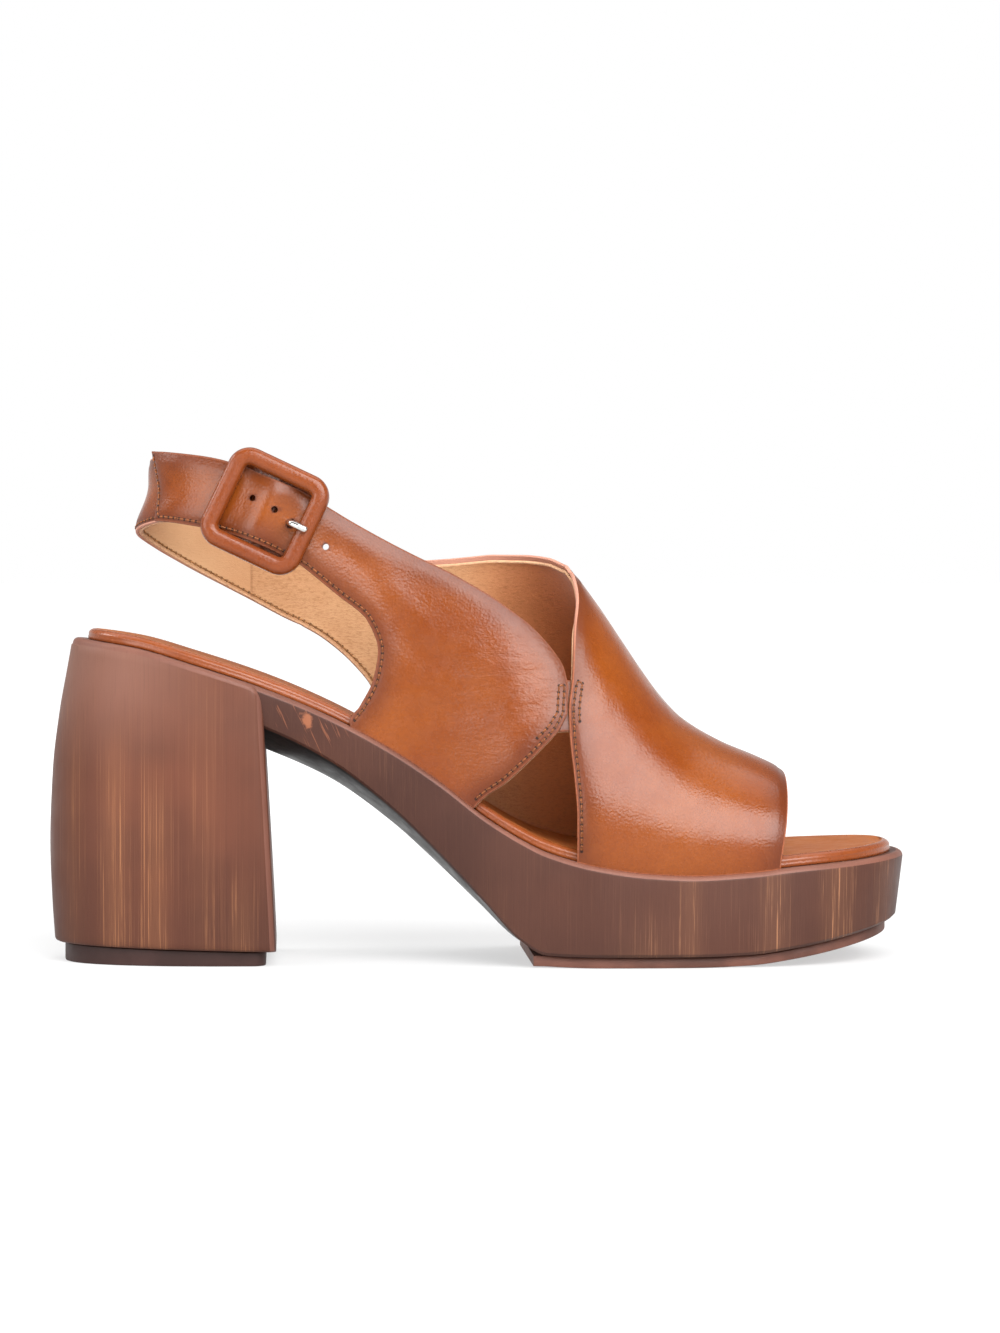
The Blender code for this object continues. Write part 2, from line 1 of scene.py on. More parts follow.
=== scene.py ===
"""Looks of the platform slingback sandal: leather panels with their lining, stitches, wood-look sole, buckle, studio.

Sizes are in millimetres in the CAD's own frame, and become metres where a mesh is made: +X is the toe, -Y the lateral
side that the photograph shows, +Z up. The tables of the foot form repeat those that the CAD solids are made from.
"""

import bisect
import math

import bmesh
import bpy
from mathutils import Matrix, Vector
from mathutils.bvhtree import BVHTree
from mathutils.geometry import delaunay_2d_cdt
from mathutils.kdtree import KDTree


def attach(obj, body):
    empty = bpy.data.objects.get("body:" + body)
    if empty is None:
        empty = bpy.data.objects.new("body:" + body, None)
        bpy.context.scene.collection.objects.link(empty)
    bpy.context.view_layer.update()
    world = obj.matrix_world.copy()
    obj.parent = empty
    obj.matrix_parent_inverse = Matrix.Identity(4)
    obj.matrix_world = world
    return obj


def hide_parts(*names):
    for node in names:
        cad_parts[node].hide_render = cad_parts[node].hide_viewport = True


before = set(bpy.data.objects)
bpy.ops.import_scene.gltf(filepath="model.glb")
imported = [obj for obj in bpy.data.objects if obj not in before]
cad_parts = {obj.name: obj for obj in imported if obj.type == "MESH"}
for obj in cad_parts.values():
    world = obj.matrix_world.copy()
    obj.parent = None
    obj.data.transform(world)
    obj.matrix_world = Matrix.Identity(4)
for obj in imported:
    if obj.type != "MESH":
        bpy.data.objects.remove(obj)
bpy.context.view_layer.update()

MM = 0.001
GAP = 0.3
BODY = "root"

# Sole
TOE_TIP_X = 120.1
OUTSOLE_THICKNESS = 3.2
OUTSOLE_INSET = 3.0
OUTSOLE_REAR_X = 13.5
OUTSOLE_FLAT_X = 17.0
SIDE_DRAFT = 2.0
TOP_BEVEL = 1.8
LOWER_BEVEL = 0.8
TOE_ROUND_X = 70.0
TOE_ROUND_POWER = 2.3
ROUND_END_TURN = math.radians(89.8)
TOE_TIP_Y = 4.0
SHANK_REAR_X = -60.0
HEEL_SEAT_BACK_X = -113.0
HEEL_ROUND_POWER = 2.4
HEEL_PROUD = 1.0
HEEL_MIDDLE_X = -90.0
PLATFORM_TUCK = 6.0
HEEL_BASE_Z = 4.0
HEEL_CORNER = 3.5
HEEL_TOP_ROUND = 4.5
HEEL_TOP_Z = 76.0
LIFT_INSET = 2.8
LIFT_FRONT_X = -57.0
LIFT_BACK_SLOPE = 0.025

# Lower edge of the rubber pieces, and their upper edge: how far in, and how far up or down
RUBBER_FOOT = ((0.5, 0.0), (0.15, 0.12), (0.0, 0.5))
LIFT_TOP = ((0.0, -0.2), (0.2, 0.0))
OUTSOLE_TOP = ((0.0, -0.3), (0.25, 0.0))

# Insole
INSOLE_INSET = 3.5
INSOLE_THICKNESS = 2.9
INSOLE_ROUND = 2.2
INSOLE_UNDERCUT = 0.2
INSOLE_LIFT = 0.05
INSOLE_DISH = 0.45

# Faces along the rings of the sole's pieces, and the heel ring's faces on its outer front corner
UNDERSIDE_STEPS = 24
BEVEL_STEPS = 6
ROLL_STEPS = 12
INSOLE_TOP_STEPS = 30
HEEL_CORNER_FACES = slice(109, 112)
HEEL_TOP_STEPS = 5

# Upper
LEATHER_WALL = 2.0
FEATHER_INSET = 1.0
FEATHER_LIFT = -0.3
ANKLE_X = -50.0
ANKLE_HALF_WIDTH = 28.0
ANKLE_BLEND_X = -8.0
ANKLE_BLEND_RISE = 42.0
BACK_REACH = 43.3
BACK_FLARE = 4.3
FLARE_LOW_Z = 118.0
FLARE_HIGH_Z = 133.0
WRAP_RADIUS = 30.0
WALL_BULGE = 1.6
WALL_BULGE_RISE = 50.0
WALL_BULGE_REAR_X = -10.0
WALL_BULGE_FULL_X = 30.0
# Brings the highest value of rise * (1 - rise) ** 2 to 1
BULGE_SCALE = 6.75
LAYER_STEP = 1.8
LAYER_STEP_START_U = -88.0
LAYER_STEP_END_U = -110.0
TAB_OVERLAP = 0.4
TAB_THICKNESS = 1.4
TAB_CLEAR = 0.45

# Buckle, in its own axes: along the strap, across it, and out from it
BUCKLE_RIB = 13.54
BUCKLE_RAISE = -0.2
BUCKLE_LENGTH = 30.0
BUCKLE_WIDTH = 29.4
BUCKLE_CORNER = 6.3
BUCKLE_BACK = -0.2
BAR_WIDTH = 5.0
BAR_HEIGHT = 3.7
CENTRE_BAR_RADIUS = 0.8
CENTRE_BAR_OUT = -0.9
STRAP_BUMP = 2.6
STRAP_BUMP_REACH = 8.5
PRONG_RADIUS = 0.95

# Strap's holes: along, across, how deep, and radius. The last one is the prong's.
HOLES = ((-4.6, 1.8, -1.6, 0.9), (2.4, 1.5, -1.6, 0.9), (19.0, -1.6, -6.0, 0.9), (7.9, 0.0, -6.0, 1.35))
PUNCH_OUT = 6.0

# End of the sling, folded round the buckle's centre bar: its section along and out, and its edges across
LOOP_FOLD = (
    (-11.4, -4.4), (-11.4, -2.9), (-6.0, -2.1), (-4.0, -1.4), (-2.0, -0.7), (0.0, -0.35), (1.5, -0.45),
    (2.8, -0.9), (3.6, -1.8), (5.5, -2.7), (11.4, -3.6), (11.4, -4.4), (0.0, -4.4),
)
LOOP_EDGES = (-10.7, 10.7)

# Prong, from behind its hole to its tip on the frame's front bar: along and out
PRONG_FRONT = BUCKLE_BACK + BAR_HEIGHT + GAP + PRONG_RADIUS
PRONG_BEND = (
    (7.6, -1.9), (7.7, 0.6), (7.9, 2.6), (8.5, 3.9), (9.6, 4.5), (11.0, PRONG_FRONT + 0.06), (13.4, PRONG_FRONT),
)
PRONG_TIP_STEP = 5.6
PRONG_TIP_REACH = 0.42

# Spacing of a panel's points: along its outline, in rows inside it, and over the rest
TRIM_STEP = 0.8
EDGE_ROWS = (1.6, 2.3, 3.2)
FILL_STEP = 1.25
ARCH_SCALE = 60.0
QUARTER_TURN = math.pi / 2

# Stitches, and the rim of a needle hole: height and share of its radius
STITCH_PITCH = 1.85
STITCH_INSET = 1.3
SECOND_ROW_INSET = 2.9
THREAD_RADIUS = 0.24
NEEDLE_HOLE_RADIUS = 0.46
NEEDLE_HOLE_RIM = ((-0.2, 0.6), (0.02, 1.0), (0.045, 0.9), (0.02, 0.4))

# How far the edges of the leather roll in, over what width
EDGE_ROLL = 0.55
EDGE_ROLL_WIDTH = 4.5
STITCH_GROOVE = 0.16
STITCH_GROOVE_WIDTH = 0.7

# Cut edge of a panel, from the leather's face to the lining's: how far past the outline, how deep below the face, and
# the share of the lining's step back that it takes along the top edges
CUT_EDGE = (
    (-0.5, 0.0, 0.0), (-0.14, 0.1, 0.0), (0.0, 0.38, 0.0), (0.0, 0.75, 0.0), (-0.14, 0.95, 0.0), (-0.25, 1.0, 1.0),
    (-0.25, 1.08, 1.0), (0.05, 1.3, 1.0), (0.05, 1.6, 1.0), (-0.1, 1.9, 1.0), (-0.5, 2.0, 1.0),
)
LEATHER_STEPS = 5
LINING_STEP_BACK = 1.35
LINING_SEAM_X = -64.0

# Photograph's frame, and the camera's place
FRAME_WIDTH = 1000
CAMERA_DISTANCE = 1150.0
CAMERA_HEIGHT = 108.0
CAMERA_TURN = math.radians(-3.0)
CAMERA_AIM_X = 6.06
FOCAL_PIXELS = 4082.5
HORIZON_ABOVE_CENTRE = 93.5
SENSOR_WIDTH = 36.0

# Area lights: place, target and size in metres, and watts
LIGHTS = {
    "softbox": ((0.5, -1.15, 0.92), (0.0, 0.0, 0.06), (1.6, 1.25), 66.0),
    "side": ((-1.06, -0.98, 0.5), (-0.05, 0.0, 0.08), (0.95, 0.7), 13.0),
    "overhead": ((0.0, 0.5, 1.9), (0.0, 0.1, 0.0), (2.4, 1.6), 24.0),
    "throat": ((-1.0, 0.15, 0.8), (0.04, 0.03, 0.1), (0.5, 0.5), 8.0),
}

# Share of each colour's brightness that the materials keep
LIGHT_TONING = 0.64
WHITE = (1.0, 1.0, 1.0, 1.0)
FLOOR_HALF = 40000.0


class Table:
    """Rows of named columns, read between rows by a smooth curve with no highs or lows of its own."""

    def __init__(self, columns, rows):
        values = list(zip(*sorted(rows)))
        self.xs = values[0]
        self.curves = {}
        for name, ys in zip(columns.split(), values):
            grades = [(ys[i + 1] - ys[i]) / (self.xs[i + 1] - self.xs[i]) for i in range(len(ys) - 1)]
            inner = [2 * a * b / (a + b) if a * b > 0 else 0.0 for a, b in zip(grades, grades[1:])]
            self.curves[name] = (ys, [grades[0], *inner, grades[-1]])

    def at(self, name, where):
        ys, slopes = self.curves[name]
        where = min(max(where, self.xs[0]), self.xs[-1])
        i = min(bisect.bisect_right(self.xs, where), len(ys) - 1) - 1
        step = self.xs[i + 1] - self.xs[i]
        t = (where - self.xs[i]) / step
        return (
            ys[i] * (1 + 2 * t) * (1 - t) ** 2
            + slopes[i] * step * t * (1 - t) ** 2
            + ys[i + 1] * t * t * (3 - 2 * t)
            + slopes[i + 1] * step * t * t * (t - 1)
        )


# Half-widths of the wooden edge in plan, from the heel's front to where the toe starts to round
OUTLINE = Table("x lateral medial", (
    (-60, 29.6, 27.8), (-42, 28.0, 25.6), (-25, 28.8, 25.6), (-12, 31.0, 27.6), (0, 34.4, 31.4), (10, 37.8, 35.4),
    (22, 40.6, 39.0), (35, 42.4, 41.4), (48, 42.6, 42.5), (60, 42.0, 42.6), (70, 40.8, 42.0),
))

# Side view of the sole: top of the wood, its lower edge, and how far its underside bellies below that edge
PROFILE = Table("x top edge belly", (
    (-113, 90.2, 79.0, 6.5), (-95, 87.3, 76.0, 6.5), (-80, 82.9, 72.0, 6.5), (-60, 76.2, 65.3, 6.5),
    (-42, 68.6, 56.2, 5.5), (-25, 59.4, 43.2, 4.5), (-12, 50.7, 30.6, 3.6), (0, 41.4, 18.0, 2.6),
    (10, 35.2, 7.4, 1.2), (17, 31.8, 3.6, 0.0), (30, 28.2, 3.2, 0.0), (45, 26.1, 3.2, 0.0), (58, 25.5, 3.2, 0.0),
    (72, 26.2, 3.6, 0.0), (85, 27.6, 5.2, 0.0), (103, 28.8, 8.4, 0.0), (120, 30.2, 12.2, 0.0),
))

# Side view of the heel block, and how much wider than the sole's edge it stands at each height
HEEL = Table("z back front widen", (
    (4, -118.6, -56.8, -1.6), (15, -119.4, -57.2, -0.8), (31, -120.0, -57.9, 0.0), (50, -119.3, -58.8, 0.3),
    (66, -117.4, -59.6, 0.2), (78, -115.2, -60.2, 0.0), (90, -113.0, -60.6, 0.0),
))

# Cross-sections of the foot form that the upper is drawn over
FORM = Table("x ridge power", (
    (-50, 212.0, 2.3), (-20, 178.0, 2.2), (0, 152.0, 2.1), (15, 127.6, 2.0), (28, 106.8, 2.0), (34, 98.4, 2.0),
    (40, 89.4, 2.05), (46, 80.4, 2.1), (51, 73.6, 2.15), (57, 67.4, 2.2), (68, 60.8, 2.25), (78, 56.6, 2.3),
    (90, 51.0, 2.4),
))

# Edges of the vamp: the toe opening by share of the arch, and the throat edge by height on the lateral side
TOE_EDGE = Table("arch x", ((0.0, 81.0), (0.15, 83.2), (0.3, 84.6), (0.5, 85.8), (0.75, 86.6), (1.0, 85.0)))
THROAT_EDGE = Table("z x", (
    (28, 24.8), (42, 24.8), (53, 24.1), (62, 23.3), (70, 23.1), (79, 24.3), (93, 25.7), (103, 27.3), (108, 26.9),
    (111, 25.6),
))

# Ribs of the lateral quarter and its buckle strap, from lower end to upper end, by place along the wall and
# by height. A lower height of 0 stands on the sole.
RIB_COLUMNS = "rib lower_u lower_z upper_u upper_z"
QUARTER = Table(RIB_COLUMNS, (
    (0, 22.8, 69.6, 23.4, 77.2), (1, 20.6, 65.6, 22.2, 82.4), (2, 15.0, 59.6, 18.7, 87.9),
    (3, 6.0, 51.0, 12.8, 94.2), (4, -2.6, 43.8, 6.5, 98.9), (5, -13.0, 0, 2.0, 102.0), (6, -25.0, 0, -4.0, 105.5),
    (7, -36.8, 66.4, -10.0, 108.8), (8, -33.9, 71.6, -15.5, 111.4), (9, -30.4, 78.6, -21.5, 114.4),
    (10, -29.0, 86.8, -28.5, 118.1), (11, -31.8, 94.8, -36.5, 122.6), (12, -40.4, 102.2, -46.0, 128.4),
    (13, -49.8, 109.9, -55.0, 133.7), (14, -57.0, 115.5, -62.4, 138.0), (15, -64.0, 119.2, -69.0, 140.1),
    (16, -71.5, 121.2, -76.5, 141.2), (17, -77.5, 122.2, -84.0, 141.8), (18, -82.4, 122.6, -90.5, 142.0),
))

# Ribs of the medial quarter and the sling strap, which runs on round the back to the lateral side
SLING = Table(RIB_COLUMNS, (
    (0, 20.0, 0, 25.6, 110.6), (1, 12.0, 0, 21.0, 112.8), (2, 3.0, 0, 14.0, 113.6), (3, -6.0, 0, 6.0, 113.6),
    (4, -13.0, 0, -1.5, 112.9), (5, -20.5, 0, -8.5, 112.2), (6, -27.5, 61.3, -15.0, 111.8),
    (7, -27.6, 67.5, -20.5, 111.8), (8, -29.5, 74.6, -27.5, 112.4), (9, -35.4, 82.2, -35.5, 112.6),
    (10, -44.0, 89.4, -43.5, 114.0), (11, -51.0, 93.6, -51.0, 117.8), (12, -60.8, 101.4, -60.0, 123.8),
    (13, -68.7, 107.1, -68.7, 130.0), (14, -78.3, 113.0, -78.3, 134.8), (15, -87.0, 117.0, -87.0, 138.0),
    (16, -97.1, 120.0, -97.1, 140.0), (17, -113.0, 122.4, -113.0, 140.6), (18, -124.0, 121.4, -124.0, 139.4),
    (19, -133.5, 118.0, -133.5, 135.8),
))
QUARTER_END, SLING_END = 18, 19

# The stitched tab behind the lateral quarter's tip and the vamp's edge
TAB = Table(RIB_COLUMNS, ((0, 15.5, 64.0, 15.0, 77.5), (1, 30.5, 64.5, 30.5, 78.0)))

# Soft creases of the leather, in side view: middle, direction, length, width and depth
CREASES = (
    (9.0, 80.0, 12.0, 16.0, 2.2, 0.16), (4.0, 75.5, 8.0, 18.0, 2.6, 0.18), (-2.0, 70.5, 4.0, 20.0, 3.0, 0.16),
    (14.0, 71.0, 30.0, 10.0, 2.0, 0.14), (-20.0, 88.0, -32.0, 20.0, 4.0, 0.2), (-27.0, 100.0, -50.0, 12.0, 3.0, 0.22),
    (-36.0, 112.0, -30.0, 12.0, 3.0, 0.2),
)

# Middle of the quarter's finest wrinkles, and of the scuff on the waist
WRINKLE_PLACE = (4.0, -36.0, 76.0)
SCUFF_PLACE = (-48.5, -28.0, 67.5)

# Bands of the wood where the warm streaks show most: middle, half-width, share, and the height that they reach
HEEL_STREAKS = (
    (-113.0, 5.0, 0.4, 80.0), (-101.0, 6.0, 1.0, 74.0), (-90.0, 6.0, 1.0, 62.0), (-76.0, 6.0, 0.35, 90.0),
    (-66.0, 6.0, 0.8, 34.0),
)
PLATFORM_STREAKS = (
    (44.0, 14.0, 0.8, 24.0), (56.0, 5.0, 0.8, 60.0), (79.0, 7.0, 0.8, 60.0), (97.0, 8.0, 1.0, 60.0),
    (112.0, 5.0, 0.5, 60.0),
)
STREAK_FADE = 26.0

# Form of the foot and of the sole


def ease(start, end, value):
    """0 before start and 1 after end, smooth between."""
    t = min(max((value - start) / (end - start), 0.0), 1.0)
    return t * t * (3 - 2 * t)


def round_off(share, power):
    """Half-width that is left a share of the way along a rounded end."""
    return (1 - min(share, 1.0) ** power) ** (1 / power)


def outline(s, inset=0.0):
    """Edge of the sole in plan at station s, drawn in by inset: its x, and its lateral and medial y."""
    toe = max((s - TOE_ROUND_X) / (TOE_TIP_X - TOE_ROUND_X), 0.0)
    heel = max((SHANK_REAR_X - s) / (SHANK_REAR_X - HEEL_SEAT_BACK_X), 0.0)
    share = round_off(toe, TOE_ROUND_POWER) * round_off(heel, HEEL_ROUND_POWER)
    middle = TOE_TIP_Y * toe**2
    lateral = (OUTLINE.at("lateral", s) - inset) * share
    medial = (OUTLINE.at("medial", s) - inset) * share
    return s - inset * (toe - heel), middle - lateral, middle + medial


def even(start, end, steps):
    return [start + (end - start) * i / steps for i in range(steps + 1)]


def end_stations(start, tip, power, steps):
    """Stations round an end of the sole, evenly turned, stopping short of the very tip."""
    turns = [ROUND_END_TURN * (i + 1) / steps for i in range(steps)]
    return [start + (tip - start) * math.sin(turn) ** (2 / power) for turn in turns]


def toe_stations(steps):
    return end_stations(TOE_ROUND_X, TOE_TIP_X, TOE_ROUND_POWER, steps)


def form_base(u):
    return PROFILE.at("top", u) + FEATHER_LIFT


def height_angle(u, z):
    """Angle up the arch of the section at u, at height z: 0 at the sole, a quarter turn at the ridge."""
    u = max(u, ANKLE_X)
    base = form_base(u)
    share = min(max((z - base) / (FORM.at("ridge", u) - base), 0.0), 1.0)
    return math.asin(share ** (FORM.at("power", u) / 2))


def form_point(u, angle, side, drop=0.0):
    """Point on the outside of the upper, drawn in by drop. Past ANKLE_X the wall wraps round the heel."""
    section = max(u, ANKLE_X)
    base, ridge, power = form_base(section), FORM.at("ridge", section), FORM.at("power", section)
    z = base + (ridge - base) * math.sin(angle) ** (2 / power)
    fullness = max(math.cos(angle), 0.0) ** (2 / power)
    x, lateral, medial = outline(section, FEATHER_INSET)
    half = -lateral if side < 0 else medial
    ankle = (1 - ease(ANKLE_X, ANKLE_BLEND_X, section)) * ease(0, ANKLE_BLEND_RISE, z - base)
    half += (ANKLE_HALF_WIDTH - half) * ankle
    rise = min((z - base) / WALL_BULGE_RISE, 1.0)
    swell = ease(WALL_BULGE_REAR_X, WALL_BULGE_FULL_X, section)
    bulge = WALL_BULGE * BULGE_SCALE * rise * (1 - rise) ** 2 * swell
    out = half * fullness + bulge - drop
    if u >= ANKLE_X:
        return Vector((u, side * out, z))
    theta = (ANKLE_X - u) / WRAP_RADIUS
    reach = BACK_REACH + BACK_FLARE * (1 - ease(FLARE_LOW_Z, FLARE_HIGH_Z, z)) - drop
    return Vector((ANKLE_X - reach * math.sin(theta), side * out * math.cos(theta), z))


def wall_point(u, arch, drop=0.0):
    """Point of the upper by place along the wall and by arch: 0 at the ridge, a quarter turn at either sole edge."""
    angle = max(QUARTER_TURN - abs(arch), 0.0)
    return form_point(u, angle, -1 if arch < 0 else 1, drop)


def rib_end(table, rib, end, side):
    """Place along the wall and arch of a rib's lower or upper end."""
    u = table.at(end + "_u", rib)
    return u, side * (QUARTER_TURN - height_angle(u, table.at(end + "_z", rib)))


def rib_point(table, rib, share, side):
    """Point a share of the way up a rib."""
    low, high = rib_end(table, rib, "lower", side), rib_end(table, rib, "upper", side)
    return wall_point(low[0] + (high[0] - low[0]) * share, low[1] + (high[1] - low[1]) * share)


def sling_drop(u):
    """How far the sling strap lies under the buckle strap at a place along the wall."""
    return LAYER_STEP * ease(-LAYER_STEP_START_U, -LAYER_STEP_END_U, -u)


def throat_x(angle):
    """Where the vamp's rear edge crosses an arch angle on the lateral side."""
    x = 25.0
    for _ in range(8):
        x = THROAT_EDGE.at("x", form_point(x, angle, -1).z)
    return x


def find_buckle_axes():
    """Place of the buckle's middle on the strap, and unit vectors along the strap, across it and out."""
    ahead, middle, behind = (rib_point(QUARTER, BUCKLE_RIB + step, 0.5, -1) for step in (-1.1, 0.0, 1.1))
    low, high = (rib_point(QUARTER, BUCKLE_RIB, share, -1) for share in (0.4, 0.6))
    along = (ahead - behind).normalized()
    out = along.cross(high - low).normalized()
    if out.y > 0:
        out = -out
    across = out.cross(along)
    return middle + across * BUCKLE_RAISE, along, across, out


BUCKLE_AXES = find_buckle_axes()


def buckle_place(along, across, out):
    """Point given in the buckle's axes."""
    middle, length, width, outward = BUCKLE_AXES
    return middle + length * along + width * across + outward * out


def strap_bump(point):
    """Point of the buckle strap, raised where the strap rides over the buckle's centre bar."""
    middle, length, width, outward = BUCKLE_AXES
    share = min(abs((point - middle).dot(length)) / STRAP_BUMP_REACH, 1.0)
    return point + outward * STRAP_BUMP * (1 - share**2) ** 2


# Mesh making


def add_object(name, data):
    made = bpy.data.objects.new(name, data)
    bpy.context.scene.collection.objects.link(made)
    return made


def new_object(name, shape, materials):
    """Object in the scene from a bmesh in millimetres, which is used up."""
    bmesh.ops.recalc_face_normals(shape, faces=shape.faces)
    bmesh.ops.scale(shape, vec=(MM, MM, MM), verts=shape.verts)
    mesh = bpy.data.meshes.new(name)
    shape.to_mesh(mesh)
    shape.free()
    for material in materials:
        mesh.materials.append(material)
    return add_object(name, mesh)


def piece(name, shape, layers, node=None, slot=None, sharp=40.0):
    """Object of the named materials, riding on the shoe's one body, in the place of a node if one is given."""
    made = new_object(name, shape, [MATERIALS[layer] for layer in layers.split()])
    made.data.shade_smooth()
    made.data.set_sharp_from_angle(angle=math.radians(sharp))
    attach(made, BODY)
    if node:
        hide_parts(node)
    return made


def add_loft(shape, rings, material=0, capped=True):
    """Adds a closed skin through rings of equal length to a bmesh. Returns the rows of faces."""
    rows = [[shape.verts.new(point) for point in ring] for ring in rings]
    bands = []
    for row, after in zip(rows, rows[1:]):
        corners = zip(row, row[1:] + row[:1], after[1:] + after[:1], after)
        bands.append([shape.faces.new(verts) for verts in corners])
    caps = [shape.faces.new(reversed(rows[0])), shape.faces.new(rows[-1])] if capped else []
    paint(material, caps, *bands)
    return bands


def paint(material, *groups):
    for group in groups:
        for face in group:
            face.material_index = material


def loft_piece(name, rings, *settings, **named):
    """Piece that is one loft through rings."""
    shape = bmesh.new()
    add_loft(shape, rings)
    return piece(name, shape, *settings, **named)


def circle(place, turn, radius, sides):
    """Ring of points round a place, square to the Z axis of a turn."""
    angles = [2 * math.pi * k / sides for k in range(sides)]
    return [place + turn @ Vector((radius * math.cos(angle), radius * math.sin(angle), 0.0)) for angle in angles]


def rod_rings(path, radii, sides):
    """Rings round a path of points, with a radius for each."""
    rings = []
    for before, point, after, radius in zip(path[:1] + path, path, path[1:] + path[-1:], radii):
        turn = (after - before).normalized().to_track_quat("Z", "Y").to_matrix()
        rings.append(circle(point, turn, radius, sides))
    return rings


def point_tree(points):
    tree = KDTree(len(points))
    for i, point in enumerate(points):
        tree.insert(point, i)
    tree.balance()
    return tree


def free_edge_distances(sheet):
    """Distance of each vertex of a sheet from the nearest edge that isn't lasted under the sole."""
    samples = []
    for edge in sheet.edges:
        if edge.is_boundary:
            a, b = (vert.co for vert in edge.verts)
            middle = (a + b) / 2
            if middle.z - form_base(max(middle.x, ANKLE_X)) > 1.5:
                samples += [a.lerp(b, share) for share in (0.0, 0.25, 0.5, 0.75)]
    tree = point_tree(samples)
    return [tree.find(vert.co)[2] for vert in sheet.verts]


def crease_depth(point):
    """Depth of the listed creases at a point of the lateral side."""
    depth = 0.0
    for x, z, degrees, length, width, deep in CREASES:
        turn = math.radians(degrees)
        dx, dz = point.x - x, point.z - z
        along = dx * math.cos(turn) + dz * math.sin(turn)
        off = dz * math.cos(turn) - dx * math.sin(turn)
        wave = math.exp(-((off / width) ** 2)) - 0.6 * math.exp(-(((off - 1.6 * width) / width) ** 2))
        depth += deep * wave * math.exp(-((along / length) ** 4))
    return depth


def dress_sheet(sheet):
    """Rolls a sheet's free edges in, sinks its stitch line and adds the creases. Returns the edge distances."""
    sheet.normal_update()
    distances = free_edge_distances(sheet)
    for vert, distance in zip(sheet.verts, distances):
        roll = EDGE_ROLL * max(1 - distance / EDGE_ROLL_WIDTH, 0.0) ** 2
        groove = STITCH_GROOVE * math.exp(-(((distance - STITCH_INSET) / STITCH_GROOVE_WIDTH) ** 2))
        crease = crease_depth(vert.co) if vert.co.y < 0 else 0.0
        vert.co -= vert.normal * (roll + groove + crease * ease(1.0, 6.0, distance))
    sheet.normal_update()
    return distances


def outward_edges(sheet):
    """Direction out of a sheet, within its surface, at each vertex of its outline."""
    outward = {}
    for edge in sheet.edges:
        if edge.is_boundary:
            face = edge.link_faces[0]
            a, b = (vert.co for vert in edge.verts)
            aside = (b - a).normalized().cross(face.normal)
            if aside.dot((a + b) / 2 - face.calc_center_median()) < 0:
                aside = -aside
            for vert in edge.verts:
                outward[vert.index] = outward.get(vert.index, Vector()) + aside
    return {index: aside.normalized() for index, aside in outward.items()}


def panel(sheet, distances, wall=LEATHER_WALL):
    """Closed two-layer panel from a sheet: leather face, lining, and cut edge in two steps, of four materials."""
    shape = bmesh.new()
    rim = shape.verts.layers.float.new("rim")
    sheet.verts.index_update()
    outward = outward_edges(sheet)

    def layer(step):
        """Vertices at one step of the cut edge's profile, all of them for the first and last."""
        past, depth, back = CUT_EDGE[step]
        made = {}
        for vert in sheet.verts:
            aside = outward.get(vert.index)
            if aside is None and 0 < step < len(CUT_EDGE) - 1:
                continue
            place = vert.co - vert.normal * depth * wall / LEATHER_WALL
            if aside is not None:
                place = place + aside * (past - back * LINING_STEP_BACK * ease(0.2, 0.7, aside.z))
            made[vert.index] = shape.verts.new(place)
            made[vert.index][rim] = distances[vert.index]
        return made

    layers = [layer(step) for step in range(len(CUT_EDGE))]
    for face in sheet.faces:
        corners = [vert.index for vert in face.verts]
        shape.faces.new([layers[0][k] for k in corners]).material_index = 0
        shape.faces.new([layers[-1][k] for k in reversed(corners)]).material_index = 1
    for edge in sheet.edges:
        if edge.is_boundary:
            a, b = (vert.index for vert in edge.verts)
            for step, (top, low) in enumerate(zip(layers, layers[1:])):
                made = shape.faces.new((top[a], top[b], low[b], low[a]))
                made.material_index = 2 if step < LEATHER_STEPS else 3
    return shape


def surface_tree(made, index):
    """Search tree over an object's faces of one material, in millimetres."""
    mesh = made.data
    points = [vert.co / MM for vert in mesh.vertices]
    return BVHTree.FromPolygons(points, [face.vertices[:] for face in mesh.polygons if face.material_index == index])


# Materials


def srgb(colour):
    """Linear colour from the 0 to 255 values that a screen shows, toned down for the strong studio light."""
    shares = [value / 255 for value in colour]
    linear = [c / 12.92 if c <= 0.04045 else ((c + 0.055) / 1.055) ** 2.4 for c in shares]
    return (*(c * LIGHT_TONING for c in linear), 1.0)


